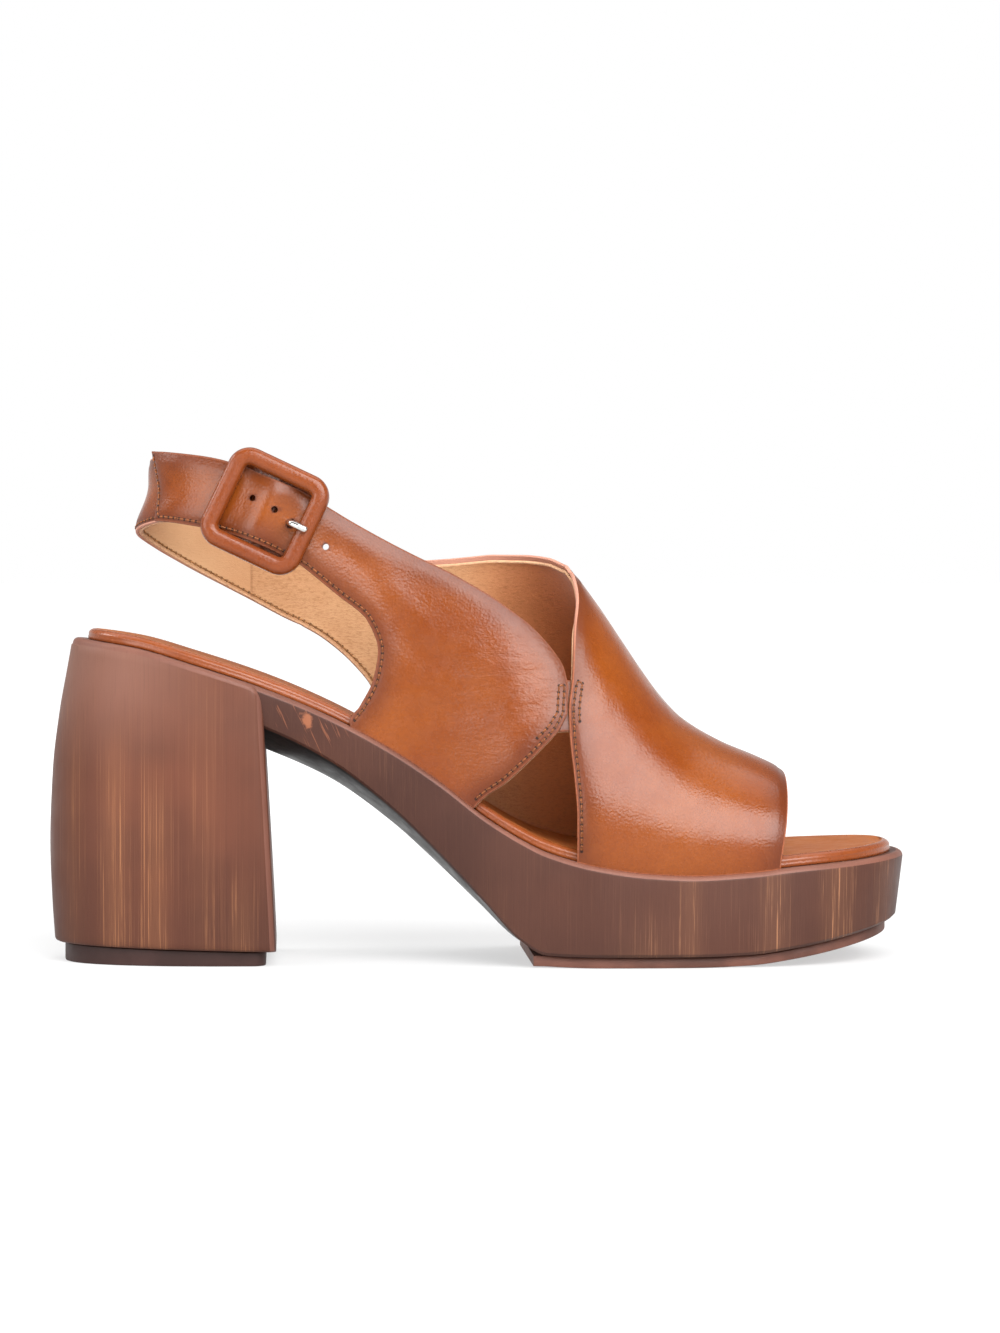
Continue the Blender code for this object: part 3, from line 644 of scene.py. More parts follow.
class Nodes:
    """Short way of wiring the nodes of a material, or of the world."""

    def __init__(self, owner, shader="Principled BSDF", place="Object"):
        owner.use_nodes = True
        self.owner = owner
        self.tree = owner.node_tree
        self.shader = self.tree.nodes[shader]
        self.place = self.tree.nodes.new("ShaderNodeTexCoord").outputs[place]

    def add(self, kind, inputs=None, **settings):
        node = self.tree.nodes.new(kind)
        for key, value in settings.items():
            setattr(node, key, value)
        for key, value in (inputs or {}).items():
            self.set(node.inputs[key], value)
        return node

    def set(self, socket, value):
        if isinstance(value, bpy.types.NodeSocket):
            self.tree.links.new(value, socket)
        else:
            socket.default_value = value

    def finish(self, **values):
        """Sets the shader's sockets, named with _ for a space. Returns the material."""
        for key, value in values.items():
            self.set(self.shader.inputs[key.replace("_", " ")], value)
        return self.owner

    def axis(self, name):
        return self.add("ShaderNodeSeparateXYZ", {"Vector": self.place}).outputs[name]

    def stretched(self, x, y, z, vector=None):
        """Coordinates scaled per axis, in cells per metre."""
        return self.add("ShaderNodeMapping", {"Vector": vector or self.place, "Scale": (x, y, z)}).outputs["Vector"]

    def noise(self, scale, detail=3.0, rough=0.55, vector=None, distortion=0.0):
        inputs = {"Scale": scale, "Detail": detail, "Roughness": rough, "Distortion": distortion}
        return self.add("ShaderNodeTexNoise", {"Vector": vector or self.place, **inputs}).outputs["Fac"]

    def fibres(self, scales, detail, rough, vector=None, distortion=0.0):
        """Noise with its cells stretched per axis."""
        return self.noise(1.0, detail, rough, self.stretched(*scales, vector), distortion)

    def distance(self, vector, middle=(0.0, 0.0, 0.0)):
        """Distance of a vector from a place in millimetres, in metres."""
        inputs = {0: vector, 1: [value * MM for value in middle]}
        return self.add("ShaderNodeVectorMath", inputs, operation="DISTANCE").outputs["Value"]

    def ramp(self, value, low, high, start=0.0, end=1.0):
        """value from low to high, turned into start to end, smooth."""
        inputs = {"Value": value, "From Min": low, "From Max": high, "To Min": start, "To Max": end}
        return self.add("ShaderNodeMapRange", inputs, interpolation_type="SMOOTHSTEP").outputs["Result"]

    def math(self, operation, a, b=0.0):
        return self.add("ShaderNodeMath", {0: a, 1: b}, operation=operation).outputs["Value"]

    def times(self, a, b):
        return self.math("MULTIPLY", a, b)

    def apart(self, x):
        """Distance from a cross-section at x millimetres, in metres."""
        return self.math("ABSOLUTE", self.math("SUBTRACT", self.axis("X"), x * MM))

    def mix(self, share, a, b):
        """Mixed colour. A colour that isn't wired in is given by its 0 to 255 values."""
        node = self.add("ShaderNodeMix", data_type="RGBA")
        for key, value in ((0, share), (6, a), (7, b)):
            self.set(node.inputs[key], srgb(value) if isinstance(value, tuple) else value)
        return node.outputs[2]

    def bump(self, height, strength, distance, normal=None):
        inputs = {"Height": height, "Strength": strength, "Distance": distance}
        if normal:
            inputs["Normal"] = normal
        return self.add("ShaderNodeBump", inputs).outputs["Normal"]


def new_material(name):
    return Nodes(bpy.data.materials.new(name))


def make_leather(name, tint=(147, 74, 20), deep=(130, 59, 14), rim=True, relief=1.0, rough=(0.23, 0.31), shine=0.3):
    """Smooth burnished calf: mottled tan, darker near the edges from burnish and painted shade, with a fine grain."""
    burnish_and_edge_shade = (84, 31, 11)
    n = new_material(name)
    colour = n.mix(n.ramp(n.noise(28, 5, 0.6), 0.3, 0.7), deep, tint)
    fine = n.ramp(n.noise(900, 3, 0.6), 0.35, 0.7)
    colour = n.mix(n.times(fine, 0.16), colour, burnish_and_edge_shade)
    gloss = n.ramp(n.noise(240, 4), 0.3, 0.7, *rough)
    if rim:
        wander = n.math("SUBTRACT", n.times(n.noise(60, 3), 0.006), 0.003)
        from_edge = n.add("ShaderNodeAttribute", attribute_name="rim").outputs["Fac"]
        near = n.math("ADD", n.times(from_edge, MM), wander)
        # Darker near the free edges: the leather's burnish, and painted shade where the rolled edges turn away from
        # the light.
        colour = n.mix(n.ramp(near, 0.0, 0.009, 0.6, 0.0), colour, burnish_and_edge_shade)
        gloss = n.math("ADD", gloss, n.ramp(near, 0.0, 0.007, 0.08, 0.0))
    cells = {"Vector": n.place, "Scale": 1500}
    grain = n.add("ShaderNodeTexVoronoi", cells, feature="SMOOTH_F1").outputs["Distance"]
    wrinkle = n.fibres((130, 130, 420), 4, 0.65, distortion=1.2)
    wrinkle = n.times(wrinkle, n.ramp(n.distance(n.place, WRINKLE_PLACE), 0.008, 0.03, 1.0, 0.1))
    normal = n.bump(wrinkle, 0.36 * relief, 0.0006)
    normal = n.bump(grain, 0.2 * relief, 0.00025, normal)
    normal = n.bump(n.noise(3200, 2, 0.6), 0.1 * relief, 0.0001, normal)
    return n.finish(Base_Color=colour, Roughness=gloss, Normal=normal, Specular_IOR_Level=shine)


def make_lining(name, seam_x=None):
    """Napped tan lining, browner towards the toe: short mottled fibres, smoother behind the seam if there is one."""
    n = new_material(name)
    colour = n.mix(n.ramp(n.noise(35, 4), 0.3, 0.7), (198, 145, 102), (214, 166, 122))
    colour = n.mix(n.ramp(n.axis("X"), -0.015, 0.025, 0.0, 0.85), colour, (188, 96, 38))
    speck = n.times(n.ramp(n.fibres((700, 700, 1900), 4, 0.7), 0.45, 0.7), 0.45)
    if seam_x is not None:
        speck = n.times(speck, n.ramp(n.axis("X"), seam_x * MM - 0.0005, seam_x * MM + 0.0005, 0.15, 1.0))
        colour = n.mix(n.ramp(n.apart(seam_x), 0.0001, 0.0006, 0.35, 0.0), colour, (120, 76, 44))
    colour = n.mix(speck, colour, (134, 84, 46))
    normal = n.bump(n.fibres((700, 700, 2200), 5, 0.7), 0.55, 0.0003)
    nap = {"Specular_IOR_Level": 0.2, "Sheen_Weight": 0.15, "Sheen_Roughness": 0.5}
    return n.finish(Base_Color=colour, Roughness=0.88, Normal=normal, **nap)


def make_cut_edge(name, colour, high=None, noise=(1400, 4, 0.7), full=0.7, dark=0.82):
    """Raw or painted edge of a layer, with fibres; with painted light high up, a lighter colour on the upper edges,
    if one is given.
    """
    n = new_material(name)
    fibre = n.noise(*noise)
    shade = n.mix(n.ramp(fibre, 0.35, full), colour, tuple(c * dark for c in colour))
    if high:
        # Painted light: the upper edges lighter, as if lit from above.
        shade = n.mix(n.ramp(n.axis("Z"), 0.08, 0.105), shade, high)
    return n.finish(Base_Color=shade, Roughness=0.6, Normal=n.bump(fibre, 0.3, 0.0002), Specular_IOR_Level=0.2)


def make_thread(name, colour):
    """Twisted waxed thread, or the shade in a needle hole."""
    return make_cut_edge(name, colour, noise=(2600, 2, 0.6), full=0.65, dark=0.6)


def paint_heel_shade_and_highlight(n, colour):
    """Heel's colour with painted shade low down and at the back, and a painted highlight near the top."""
    for share in (n.ramp(n.axis("Z"), 0.004, 0.05, 0.45, 0.0), n.ramp(n.axis("X"), -0.119, -0.098, 0.4, 0.0)):
        colour = n.mix(share, colour, (62, 36, 29))
    # Painted highlight near the top, strongest towards the back.
    painted_highlight = n.times(n.ramp(n.axis("Z"), 0.05, 0.085), n.ramp(n.axis("X"), -0.1, -0.07, 0.4, 0.1))
    return n.mix(painted_highlight, colour, (160, 116, 100))


def scuff(n, colour):
    """Colour with a ragged scuff and scratches round it, on the lateral side only."""
    middle = [value * MM for value in SCUFF_PLACE]
    centred = n.add("ShaderNodeVectorMath", {0: n.place, 1: middle}, operation="SUBTRACT").outputs["Vector"]
    turned = n.add("ShaderNodeMapping", {"Vector": centred, "Rotation": (0.0, math.radians(25), 0.0)})
    turned = turned.outputs["Vector"]
    reach = n.distance(n.stretched(1.0, 0.0, 0.65, turned))
    ragged = n.math("ADD", reach, n.times(n.noise(420, 3), 0.0035))
    scratch = n.ramp(n.fibres((1700, 0.0, 90), 2, 0.5, turned), 0.62, 0.68)
    scratch = n.times(scratch, n.ramp(reach, 0.005, 0.013, 0.4, 0.0))
    patch = n.math("MAXIMUM", n.ramp(ragged, 0.0026, 0.0036, 0.75, 0.0), scratch)
    return n.mix(n.times(patch, n.ramp(n.axis("Y"), -0.002, 0.0, 1.0, 0.0)), colour, (170, 104, 72))


def make_wood(name, dark, light, warm, bands=(), under=None, over=None):
    """Brushed brown finish over a warmer wood tone that shows through in streaks, most in the bands. Two functions
    may change the colour under the streaks and over them."""
    n = new_material(name)
    colour = n.mix(n.ramp(n.noise(22, 3), 0.3, 0.72), dark, light)
    if under:
        colour = under(n, colour)
    streak = n.fibres((2600, 250, 6), 3, 0.6)
    fine = n.fibres((3600, 1200, 14), 3, 0.6)
    where = n.ramp(n.fibres((48, 48, 14), 2, 0.5), 0.5, 0.72, 0.04, 0.14)
    for x, half, share, top in bands:
        below = n.ramp(n.axis("Z"), (top - STREAK_FADE) * MM, top * MM, 1.0, 0.0)
        where = n.math("ADD", where, n.times(n.ramp(n.apart(x), 0.0, half * MM, share, 0.0), below))
    colour = n.mix(n.times(where, 0.1), colour, warm)
    broken = n.ramp(n.fibres((700, 200, 40), 2, 0.5), 0.36, 0.6, 0.25, 1.0)
    lines = n.times(n.ramp(streak, 0.5, 0.66, 0.0, 0.75), n.times(n.ramp(fine, 0.3, 0.56), broken))
    colour = n.mix(n.times(lines, where), colour, warm)
    colour = n.mix(n.times(n.ramp(fine, 0.5, 0.75), 0.16), colour, (50, 28, 23))
    if over:
        colour = over(n, colour)
    normal = n.bump(fine, 0.08, 0.0002, n.bump(streak, 0.12, 0.0003))
    rough = n.ramp(n.noise(60, 4), 0.3, 0.7, 0.42, 0.56)
    return n.finish(Base_Color=colour, Roughness=rough, Normal=normal, Specular_IOR_Level=0.18)


def make_rubber(name, colour, rough=0.55, shine=0.25):
    """Moulded rubber with a faint tooth and rubbed patches."""
    n = new_material(name)
    patch = n.times(n.ramp(n.noise(70, 4), 0.35, 0.7), 0.6)
    shade = n.mix(patch, colour, tuple(min(c * 1.35 + 6, 255) for c in colour))
    wear = n.ramp(n.noise(160, 4), 0.3, 0.7, rough - 0.06, rough + 0.08)
    normal = n.bump(n.noise(1500, 3, 0.6), 0.12, 0.0002)
    return n.finish(Base_Color=shade, Roughness=wear, Normal=normal, Specular_IOR_Level=shine)


def make_steel(name):
    """Polished prong with hairline wear."""
    n = new_material(name)
    hair = n.fibres((900, 6000, 6000), 3, 0.6)
    shade = n.mix(n.ramp(n.noise(500, 3), 0.4, 0.8), (255, 254, 250), (244, 242, 238))
    rough = n.ramp(hair, 0.3, 0.7, 0.08, 0.18)
    return n.finish(Base_Color=shade, Metallic=1.0, Roughness=rough, Normal=n.bump(hair, 0.04, 0.0001))


MATERIALS = {
    "leather": make_leather("tan_leather"),
    "buckle_leather": make_leather("buckle_leather", (138, 66, 24), (120, 52, 18), rim=False),
    "insole_leather": make_leather("insole_leather", (152, 79, 38), (136, 66, 30), rim=False),
    # Insole's top: lighter tan with little gloss, its sheen painted into the colour.
    "insole_top": make_leather("insole_top", (184, 108, 54), (170, 94, 44), False, 0.2, (0.5, 0.6), 0.1),
    "lining": make_lining("tan_lining", LINING_SEAM_X),
    "strap_lining": make_lining("strap_lining"),
    # Cut edge of the vamp and sling, with painted light on its upper edges.
    "leather_edge": make_cut_edge("leather_edge", (166, 94, 62), high=(204, 146, 124)),
    # Darker copy of the cut edge for the lateral quarter and the tab: painted shade.
    "quarter_edge": make_cut_edge("quarter_edge", (140, 78, 52)),
    "lining_edge": make_cut_edge("lining_edge", (240, 188, 146)),
    "wood": make_wood(
        "brushed_wood", (91, 51, 37), (111, 63, 45), (198, 134, 90), HEEL_STREAKS, under=paint_heel_shade_and_highlight
    ),
    "wood_scuffed": make_wood(
        "brushed_wood_platform", (70, 41, 33), (86, 52, 41), (184, 128, 92), PLATFORM_STREAKS, over=scuff
    ),
    # Lighter wood of the bevels and the heel's front corner: edge wear with a painted highlight.
    "wood_edge": make_wood("rubbed_and_highlit_wood_bevel", (112, 72, 60), (136, 89, 74), (180, 118, 88)),
    "rubber": make_rubber("brown_rubber", (58, 36, 32)),
    "outsole_rubber": make_rubber("outsole_rubber", (98, 62, 51)),
    "belly": make_rubber("grey_underside", (15, 14, 14), 0.36, 0.2),
    "steel": make_steel("polished_steel"),
    "thread": make_thread("tan_thread", (168, 98, 54)),
    # Dark discs at the needle holes, outside and on the lining: painted shade.
    "needle_hole": make_thread("needle_hole", (52, 26, 16)),
    "lining_hole": make_thread("lining_hole", (158, 104, 62)),
    "lining_thread": make_thread("lining_thread", (206, 146, 92)),
}

# Pieces of the upper


class Trim:
    """Outline of a panel on the wall of the upper, as named stretches of place along the wall and arch."""

    def __init__(self, place, stretches):
        self.place = place
        self.stretches = {name: self.spaced(points) for name, points in stretches.items()}
        self.loop = [spot for points in self.stretches.values() for spot in points[:-1]]
        turning = sum(a[0] * b[1] - b[0] * a[1] for a, b in zip(self.loop, self.loop[1:] + self.loop[:1]))
        self.turn = 1 if turning > 0 else -1

    def spaced(self, points):
        """The stretch with its points evenly spaced on the wall."""
        places = [self.place(*spot) for spot in points]
        lengths = [0.0]
        for a, b in zip(places, places[1:]):
            lengths.append(lengths[-1] + (b - a).length)
        steps = max(round(lengths[-1] / TRIM_STEP), 2)
        out, k = [], 0
        for target in even(0, lengths[-1], steps):
            while k < len(points) - 2 and lengths[k + 1] < target:
                k += 1
            share = (target - lengths[k]) / max(lengths[k + 1] - lengths[k], 1e-9)
            out.append(tuple(a + (b - a) * share for a, b in zip(points[k], points[k + 1])))
        return out

    def inset(self, spot, before, after, distance):
        """Spot moved a distance inside the outline, along the wall."""
        u, arch = spot
        inner = -1 if arch > 0 else 1
        along = (self.place(u + 0.05, arch) - self.place(u - 0.05, arch)) / 0.1
        up = (self.place(u, arch + inner * 0.004) - self.place(u, arch)) / (inner * 0.004)
        heading = along * (after[0] - before[0]) + up * (after[1] - before[1])
        aside = along.cross(up).cross(heading).normalized()
        aa, au, uu = along.dot(along), along.dot(up), up.dot(up)
        det = aa * uu - au * au
        step = (
            (aside.dot(along) * uu - aside.dot(up) * au) / det,
            (aside.dot(up) * aa - aside.dot(along) * au) / det,
        )
        if ((after[0] - before[0]) * step[1] - (after[1] - before[1]) * step[0]) * self.turn < 0:
            distance = -distance
        return u + step[0] * distance, arch + step[1] * distance

    def inset_stretch(self, name, distance, start=0.0, end=1.0):
        """Part of a named stretch, moved inside the outline: spots on the wall."""
        points = self.stretches[name]
        out = []
        for i, spot in enumerate(points):
            if start <= i / (len(points) - 1) <= end:
                before, after = points[max(i - 1, 0)], points[min(i + 1, len(points) - 1)]
                out.append(self.inset(spot, before, after, distance))
        return out

    def holds(self, u, arch):
        """Whether a spot lies inside the outline."""
        inside = False
        for a, b in zip(self.loop, self.loop[1:] + self.loop[:1]):
            if (a[1] > arch) != (b[1] > arch):
                if u < a[0] + (b[0] - a[0]) * (arch - a[1]) / (b[1] - a[1]):
                    inside = not inside
        return inside

    def sheet(self, finish=None):
        """Triangle sheet inside the outline, with rows of points along its edges, as a bmesh in millimetres."""
        count = len(self.loop)
        tree = point_tree([self.place(*spot) for spot in self.loop])
        spots = list(self.loop)
        for distance in EDGE_ROWS:
            for i, spot in enumerate(self.loop):
                moved = self.inset(spot, self.loop[i - 1], self.loop[(i + 1) % count], distance)
                if abs(moved[1]) < QUARTER_TURN and tree.find(self.place(*moved))[2] > 0.9 * distance:
                    if self.holds(*moved):
                        spots.append(moved)
        us, arches = zip(*self.loop)
        for u in even(min(us), max(us), round((max(us) - min(us)) / FILL_STEP)):
            for _, arch in self.spaced([(u, arch) for arch in even(min(arches), max(arches), 160)]):
                if self.holds(u, arch) and tree.find(self.place(u, arch))[2] > EDGE_ROWS[-1] + 0.7 * FILL_STEP:
                    spots.append((u, arch))
        flat = [Vector((u, arch * ARCH_SCALE)) for u, arch in spots]
        points, _, faces, _, _, _ = delaunay_2d_cdt(flat, [], [list(range(count))], 1, 1e-5)
        sheet = bmesh.new()
        places = [self.place(point.x, point.y / ARCH_SCALE) for point in points]
        verts = [sheet.verts.new(finish(place) if finish else place) for place in places]
        for face in faces:
            sheet.faces.new([verts[k] for k in face])
        bmesh.ops.recalc_face_normals(sheet, faces=sheet.faces)
        middle = max(sheet.faces, key=lambda face: abs(face.calc_center_median().y))
        if middle.normal.y * middle.calc_center_median().y < 0:
            bmesh.ops.reverse_faces(sheet, faces=sheet.faces)
        return sheet


def rib_ends(table, end, side, first, last, steps):
    """Lower or upper ends of the ribs from first to last."""
    return [rib_end(table, rib, end, side) for rib in even(first, last, steps)]


def vamp_and_sling_trim():
    """Outline of the vamp, the medial quarter and the sling strap, in one."""

    def place(u, arch):
        return wall_point(u, arch, sling_drop(u))

    leave = 6
    lateral, medial = TOE_EDGE.at("x", 0), TOE_EDGE.at("x", 1)
    return Trim(
        place,
        {
            "toe": [(TOE_EDGE.at("x", share), math.pi * (share - 0.5)) for share in even(0, 1, 200)],
            "medial_sole": [(u, QUARTER_TURN) for u in even(medial, SLING.at("lower_u", leave), 200)],
            "sling": rib_ends(SLING, "lower", 1, leave, SLING_END, 300),
            "sling_end": [rib_end(SLING, SLING_END, end, 1) for end in ("lower", "upper")],
            "top": rib_ends(SLING, "upper", 1, SLING_END, 0, 300),
            "throat": [(throat_x(angle), angle - QUARTER_TURN) for angle in even(QUARTER_TURN, 0, 200)],
            "lateral_sole": [(u, -QUARTER_TURN) for u in even(throat_x(0.0), lateral, 200)],
        },
    )


def quarter_trim():
    """Outline of the lateral quarter and its buckle strap."""
    land, leave = 4, 7
    return Trim(
        wall_point,
        {
            "front": rib_ends(QUARTER, "lower", -1, 0, land, 120),
            "sole": rib_ends(QUARTER, "lower", -1, land, leave, 120),
            "rear": rib_ends(QUARTER, "lower", -1, leave, QUARTER_END, 300),
            "end": [rib_end(QUARTER, QUARTER_END, end, -1) for end in ("lower", "upper")],
            "top": rib_ends(QUARTER, "upper", -1, QUARTER_END, 0, 300),
            "tip": [rib_end(QUARTER, 0, end, -1) for end in ("upper", "lower")],
        },
    )


def tab_trim():
    """Outline of the tab behind the quarter's tip and the vamp's edge."""

    def place(u, arch):
        return wall_point(u, arch, LEATHER_WALL - TAB_OVERLAP + TAB_CLEAR)

    corners = [rib_end(TAB, rib, end, -1) for rib, end in ((0, "lower"), (1, "lower"), (1, "upper"), (0, "upper"))]
    names = ("lower", "front", "upper", "rear")
    return Trim(place, {name: [a, b] for name, a, b in zip(names, corners, corners[1:] + corners[:1])})


def punch_holes(made):
    """Cuts the strap's holes into a panel."""
    shape = bmesh.new()
    for along, side, deep, radius in HOLES:
        path = [buckle_place(along, side, deep), buckle_place(along, side, PUNCH_OUT)]
        add_loft(shape, rod_rings(path, (radius, radius), 28))
    punch = new_object("punch", shape, [made.data.materials[2]])
    cut = made.modifiers.new("holes", "BOOLEAN")
    cut.operation = "DIFFERENCE"
    cut.object = punch
    graph = bpy.context.evaluated_depsgraph_get()
    made.data = bpy.data.meshes.new_from_object(made.evaluated_get(graph))
    made.modifiers.clear()
    bpy.data.objects.remove(punch)


def make_upper():
    """Both panels and the tab between them. Returns the panels with their outlines."""
    vamp_trim, strap_trim = vamp_and_sling_trim(), quarter_trim()
    sheet = vamp_trim.sheet()
    layers = "leather lining leather_edge lining_edge"
    vamp = piece("vamp_and_sling", panel(sheet, dress_sheet(sheet)), layers, "upper")
    sheet.free()

    sheet = strap_trim.sheet(strap_bump)
    layers = "leather strap_lining quarter_edge lining_edge"
    quarter = piece("lateral_quarter", panel(sheet, dress_sheet(sheet)), layers, "upper")
    punch_holes(quarter)
    sheet.free()

    sheet = tab_trim().sheet()
    sheet.normal_update()
    shape = panel(sheet, free_edge_distances(sheet), TAB_THICKNESS - TAB_CLEAR)
    piece("joining_tab", shape, layers, slot="upper")
    sheet.free()
    return vamp, vamp_trim, quarter, strap_trim


# Stitches


def resample(points, pitch):
    """Points along a polyline a fixed pitch apart."""
    out = [points[0]]
    left = pitch
    for a, b in zip(points, points[1:]):
        span = (b - a).length
        while span >= left:
            a = a.lerp(b, left / span)
            out.append(a)
            span -= left
            left = pitch
        left -= span
    return out


def add_stitches(shape, path, tree):
    """Adds one row of lockstitch to a bmesh: thread arched between needle holes that pull the leather in."""
    spots = []
    for point in resample(path, STITCH_PITCH):
        place, normal, _, _ = tree.find_nearest(point)
        if (point - place).dot(normal) >= -3.0:
            spots.append((place, normal))
    for (a, na), (b, nb) in zip(spots, spots[1:]):
        if (b - a).length > STITCH_PITCH * 1.5:
            continue
        arch, radii = [], []
        for share in (0.1, 0.2, 0.35, 0.5, 0.65, 0.8, 0.9):
            lift = THREAD_RADIUS * (1.9 * math.sin(math.pi * share) - 1.2)
            arch.append(a.lerp(b, share) + na.lerp(nb, share) * lift)
            radii.append(THREAD_RADIUS * (0.75 + 0.25 * math.sin(math.pi * share)))
        add_loft(shape, rod_rings(arch, radii, 7), 0)
    for place, normal in spots:
        turn = normal.to_track_quat("Z", "Y").to_matrix()
        rings = [
            circle(place + turn @ Vector((0.0, 0.0, height)), turn, share * NEEDLE_HOLE_RADIUS, 9)
            for height, share in NEEDLE_HOLE_RIM
        ]
        # Dark disc at each needle hole: painted shade.
        add_loft(shape, rings, 1)


def stitch_row(trim, name, start=0.0, end=1.0, inset=STITCH_INSET, finish=None):
    """Path of a row of stitches along part of a panel's outline."""
    path = [trim.place(*spot) for spot in trim.inset_stretch(name, inset, start, end)]
    return [finish(point) for point in path] if finish else path


def stitch_piece(name, rows, tree, layers="thread needle_hole"):
    shape = bmesh.new()
    for path in rows:
        add_stitches(shape, path, tree)
    piece(name, shape, layers, slot="upper")


def make_stitches(vamp, vamp_trim, quarter, strap_trim):
    rear = stitch_row(strap_trim, "rear", 0.01, 0.985, finish=strap_bump)
    rear += stitch_row(strap_trim, "end", 0.06, 0.95, finish=strap_bump)
    second = stitch_row(strap_trim, "tip", inset=SECOND_ROW_INSET)
    second += stitch_row(strap_trim, "front", 0.06, 0.3, SECOND_ROW_INSET)
    front = second[::-1] + stitch_row(strap_trim, "tip") + stitch_row(strap_trim, "front", 0.02, 0.97)
    stitch_piece("quarter_stitches", [rear, front], surface_tree(quarter, 0))

    outside = surface_tree(vamp, 0)
    second = stitch_row(vamp_trim, "throat", 0.475, 0.6, SECOND_ROW_INSET)
    stitch_piece("vamp_stitches", [second[::-1] + stitch_row(vamp_trim, "throat", 0.475, 0.985)], outside)

    sling = stitch_row(vamp_trim, "sling", 0.01, 0.97)
    stitch_piece("sling_stitches", [sling], outside)
    stitch_piece("lining_stitches", [sling], surface_tree(vamp, 1), "lining_thread lining_hole")


# Buckle


def smooth_path(points, steps):
    """Smooth curve through points given along and out."""
    curve = Table("step along out", [(step, *spot) for step, spot in enumerate(points)])
    return [(curve.at("along", step), curve.at("out", step)) for step in even(0, len(points) - 1, steps)]


def buckle_path():
    """Middle line of the frame's bars, round its four corners, with the direction that faces out at each point."""
    half_length, half_width = (BUCKLE_LENGTH - BAR_WIDTH) / 2, (BUCKLE_WIDTH - BAR_WIDTH) / 2
    radius = BUCKLE_CORNER - BAR_WIDTH / 2
    path = []
    for corner, (sign_x, sign_y) in enumerate(((1, 1), (-1, 1), (-1, -1), (1, -1))):
        centre = Vector((sign_x * (half_length - radius), sign_y * (half_width - radius)))
        for angle in even(QUARTER_TURN * corner, QUARTER_TURN * (corner + 1), 12):
            facing = Vector((math.cos(angle), math.sin(angle)))
            path.append((centre + facing * radius, facing))
        start, facing = path[-1]
        span = 2 * ((half_width if corner % 2 else half_length) - radius)
        for share in even(0, 1, 14)[1:-1]:
            path.append((start + facing.orthogonal() * span * share, facing))
    return path


def make_buckle():
    section = [(share, 0.0) for share in even(-0.4, 0.4, 6)]
    for turn in even(0, math.pi, 18):
        across = math.copysign(0.5 * abs(math.cos(turn)) ** 0.62, math.cos(turn))
        section.append((across, 0.2 + 0.8 * max(math.sin(turn), 0.0) ** 0.85))
    rings = []
    for place, facing in buckle_path():
        spots = [(place + facing * share * BAR_WIDTH, height) for share, height in section]
        rings.append([buckle_place(*spot, BUCKLE_BACK + height * BAR_HEIGHT) for spot, height in spots])
    shape = bmesh.new()
    add_loft(shape, rings + rings[:1], capped=False)
    bmesh.ops.remove_doubles(shape, verts=shape.verts, dist=0.001)
    half = (BUCKLE_WIDTH - BAR_WIDTH) / 2
    bar = [buckle_place(0.0, side, CENTRE_BAR_OUT) for side in (-half, half)]
    add_loft(shape, rod_rings(bar, (CENTRE_BAR_RADIUS, CENTRE_BAR_RADIUS), 16))
    piece("covered_buckle", shape, "buckle_leather", "buckle_frame", sharp=60)

    section = smooth_path(LOOP_FOLD, 60)
    rings = [[buckle_place(along, side, out) for along, out in section] for side in even(*LOOP_EDGES, 24)]
    loft_piece("sling_loop", rings, "buckle_leather", slot="upper")

    path = [buckle_place(along, 0.0, out) for along, out in smooth_path(PRONG_BEND, 60)]
    past = [max((step - PRONG_TIP_STEP) / PRONG_TIP_REACH, 0.0) for step in even(0, len(PRONG_BEND) - 1, 60)]
    radii = [PRONG_RADIUS * math.sqrt(max(1 - share**2, 0.02)) for share in past]
    loft_piece("buckle_tongue", rod_rings(path, radii, 20), "steel", "buckle_prong", sharp=60)


# Sole


def heel_ring(z, inset=0.0, front_inset=0.0):
    """Closed D of the heel block at a height: round at the back, flat at the front with rounded corners."""
    back = HEEL.at("back", z) + inset
    side_start = HEEL.at("front", z) - front_inset - HEEL_CORNER
    spread = HEEL_PROUD + HEEL.at("widen", z) - inset
    lateral = OUTLINE.at("lateral", SHANK_REAR_X) + spread
    medial = OUTLINE.at("medial", SHANK_REAR_X) + spread
    points = []
    for i in range(97):
        turn = math.pi * i / 96
        across, along = math.cos(turn), math.sin(turn)
        half = lateral if across > 0 else medial
        y = -math.copysign(half * abs(across) ** (2 / HEEL_ROUND_POWER), across)
        points.append((side_start - (side_start - back) * along ** (2 / HEEL_ROUND_POWER), y))
    for half, side, angles in ((medial, 1, even(10, 90, 8)), (lateral, -1, even(90, 10, 8))):
        for angle in angles:
            turn = math.radians(angle)
            y = half - HEEL_CORNER * (1 - math.cos(turn))
            points.append((side_start + HEEL_CORNER * math.sin(turn), side * y))
    return points


def lift_rise(x):
    """How much thicker the top lift is at x than at its front."""
    return LIFT_BACK_SLOPE * (LIFT_FRONT_X - x)


def heel_level(share, inset=0.0, below_top=0.0):
    """Ring of the heel block at a share of its height, its top following the slope of the heel seat."""
    nominal = HEEL_BASE_Z + share * (PROFILE.at("top", HEEL_MIDDLE_X) - HEEL_BASE_Z)
    ring = []
    for x, y in heel_ring(nominal, inset):
        base = HEEL_BASE_Z + lift_rise(x)
        over = min(max(x - HEEL.at("front", HEEL_TOP_Z) + HEEL_TOP_ROUND, 0.0), HEEL_TOP_ROUND)
        round_down = HEEL_TOP_ROUND - math.sqrt(HEEL_TOP_ROUND**2 - over**2)
        top = PROFILE.at("top", x) - below_top - round_down
        ring.append(Vector((x, y, base + share * (top - base))))
    return ring


def top_bevel(steps):
    """Rounded top edge of the wood, from below: how far in, and how far under the top."""
    turns = even(0, QUARTER_TURN, steps)
    return [(TOP_BEVEL * (1 - math.cos(turn)), TOP_BEVEL * (1 - math.sin(turn))) for turn in turns]


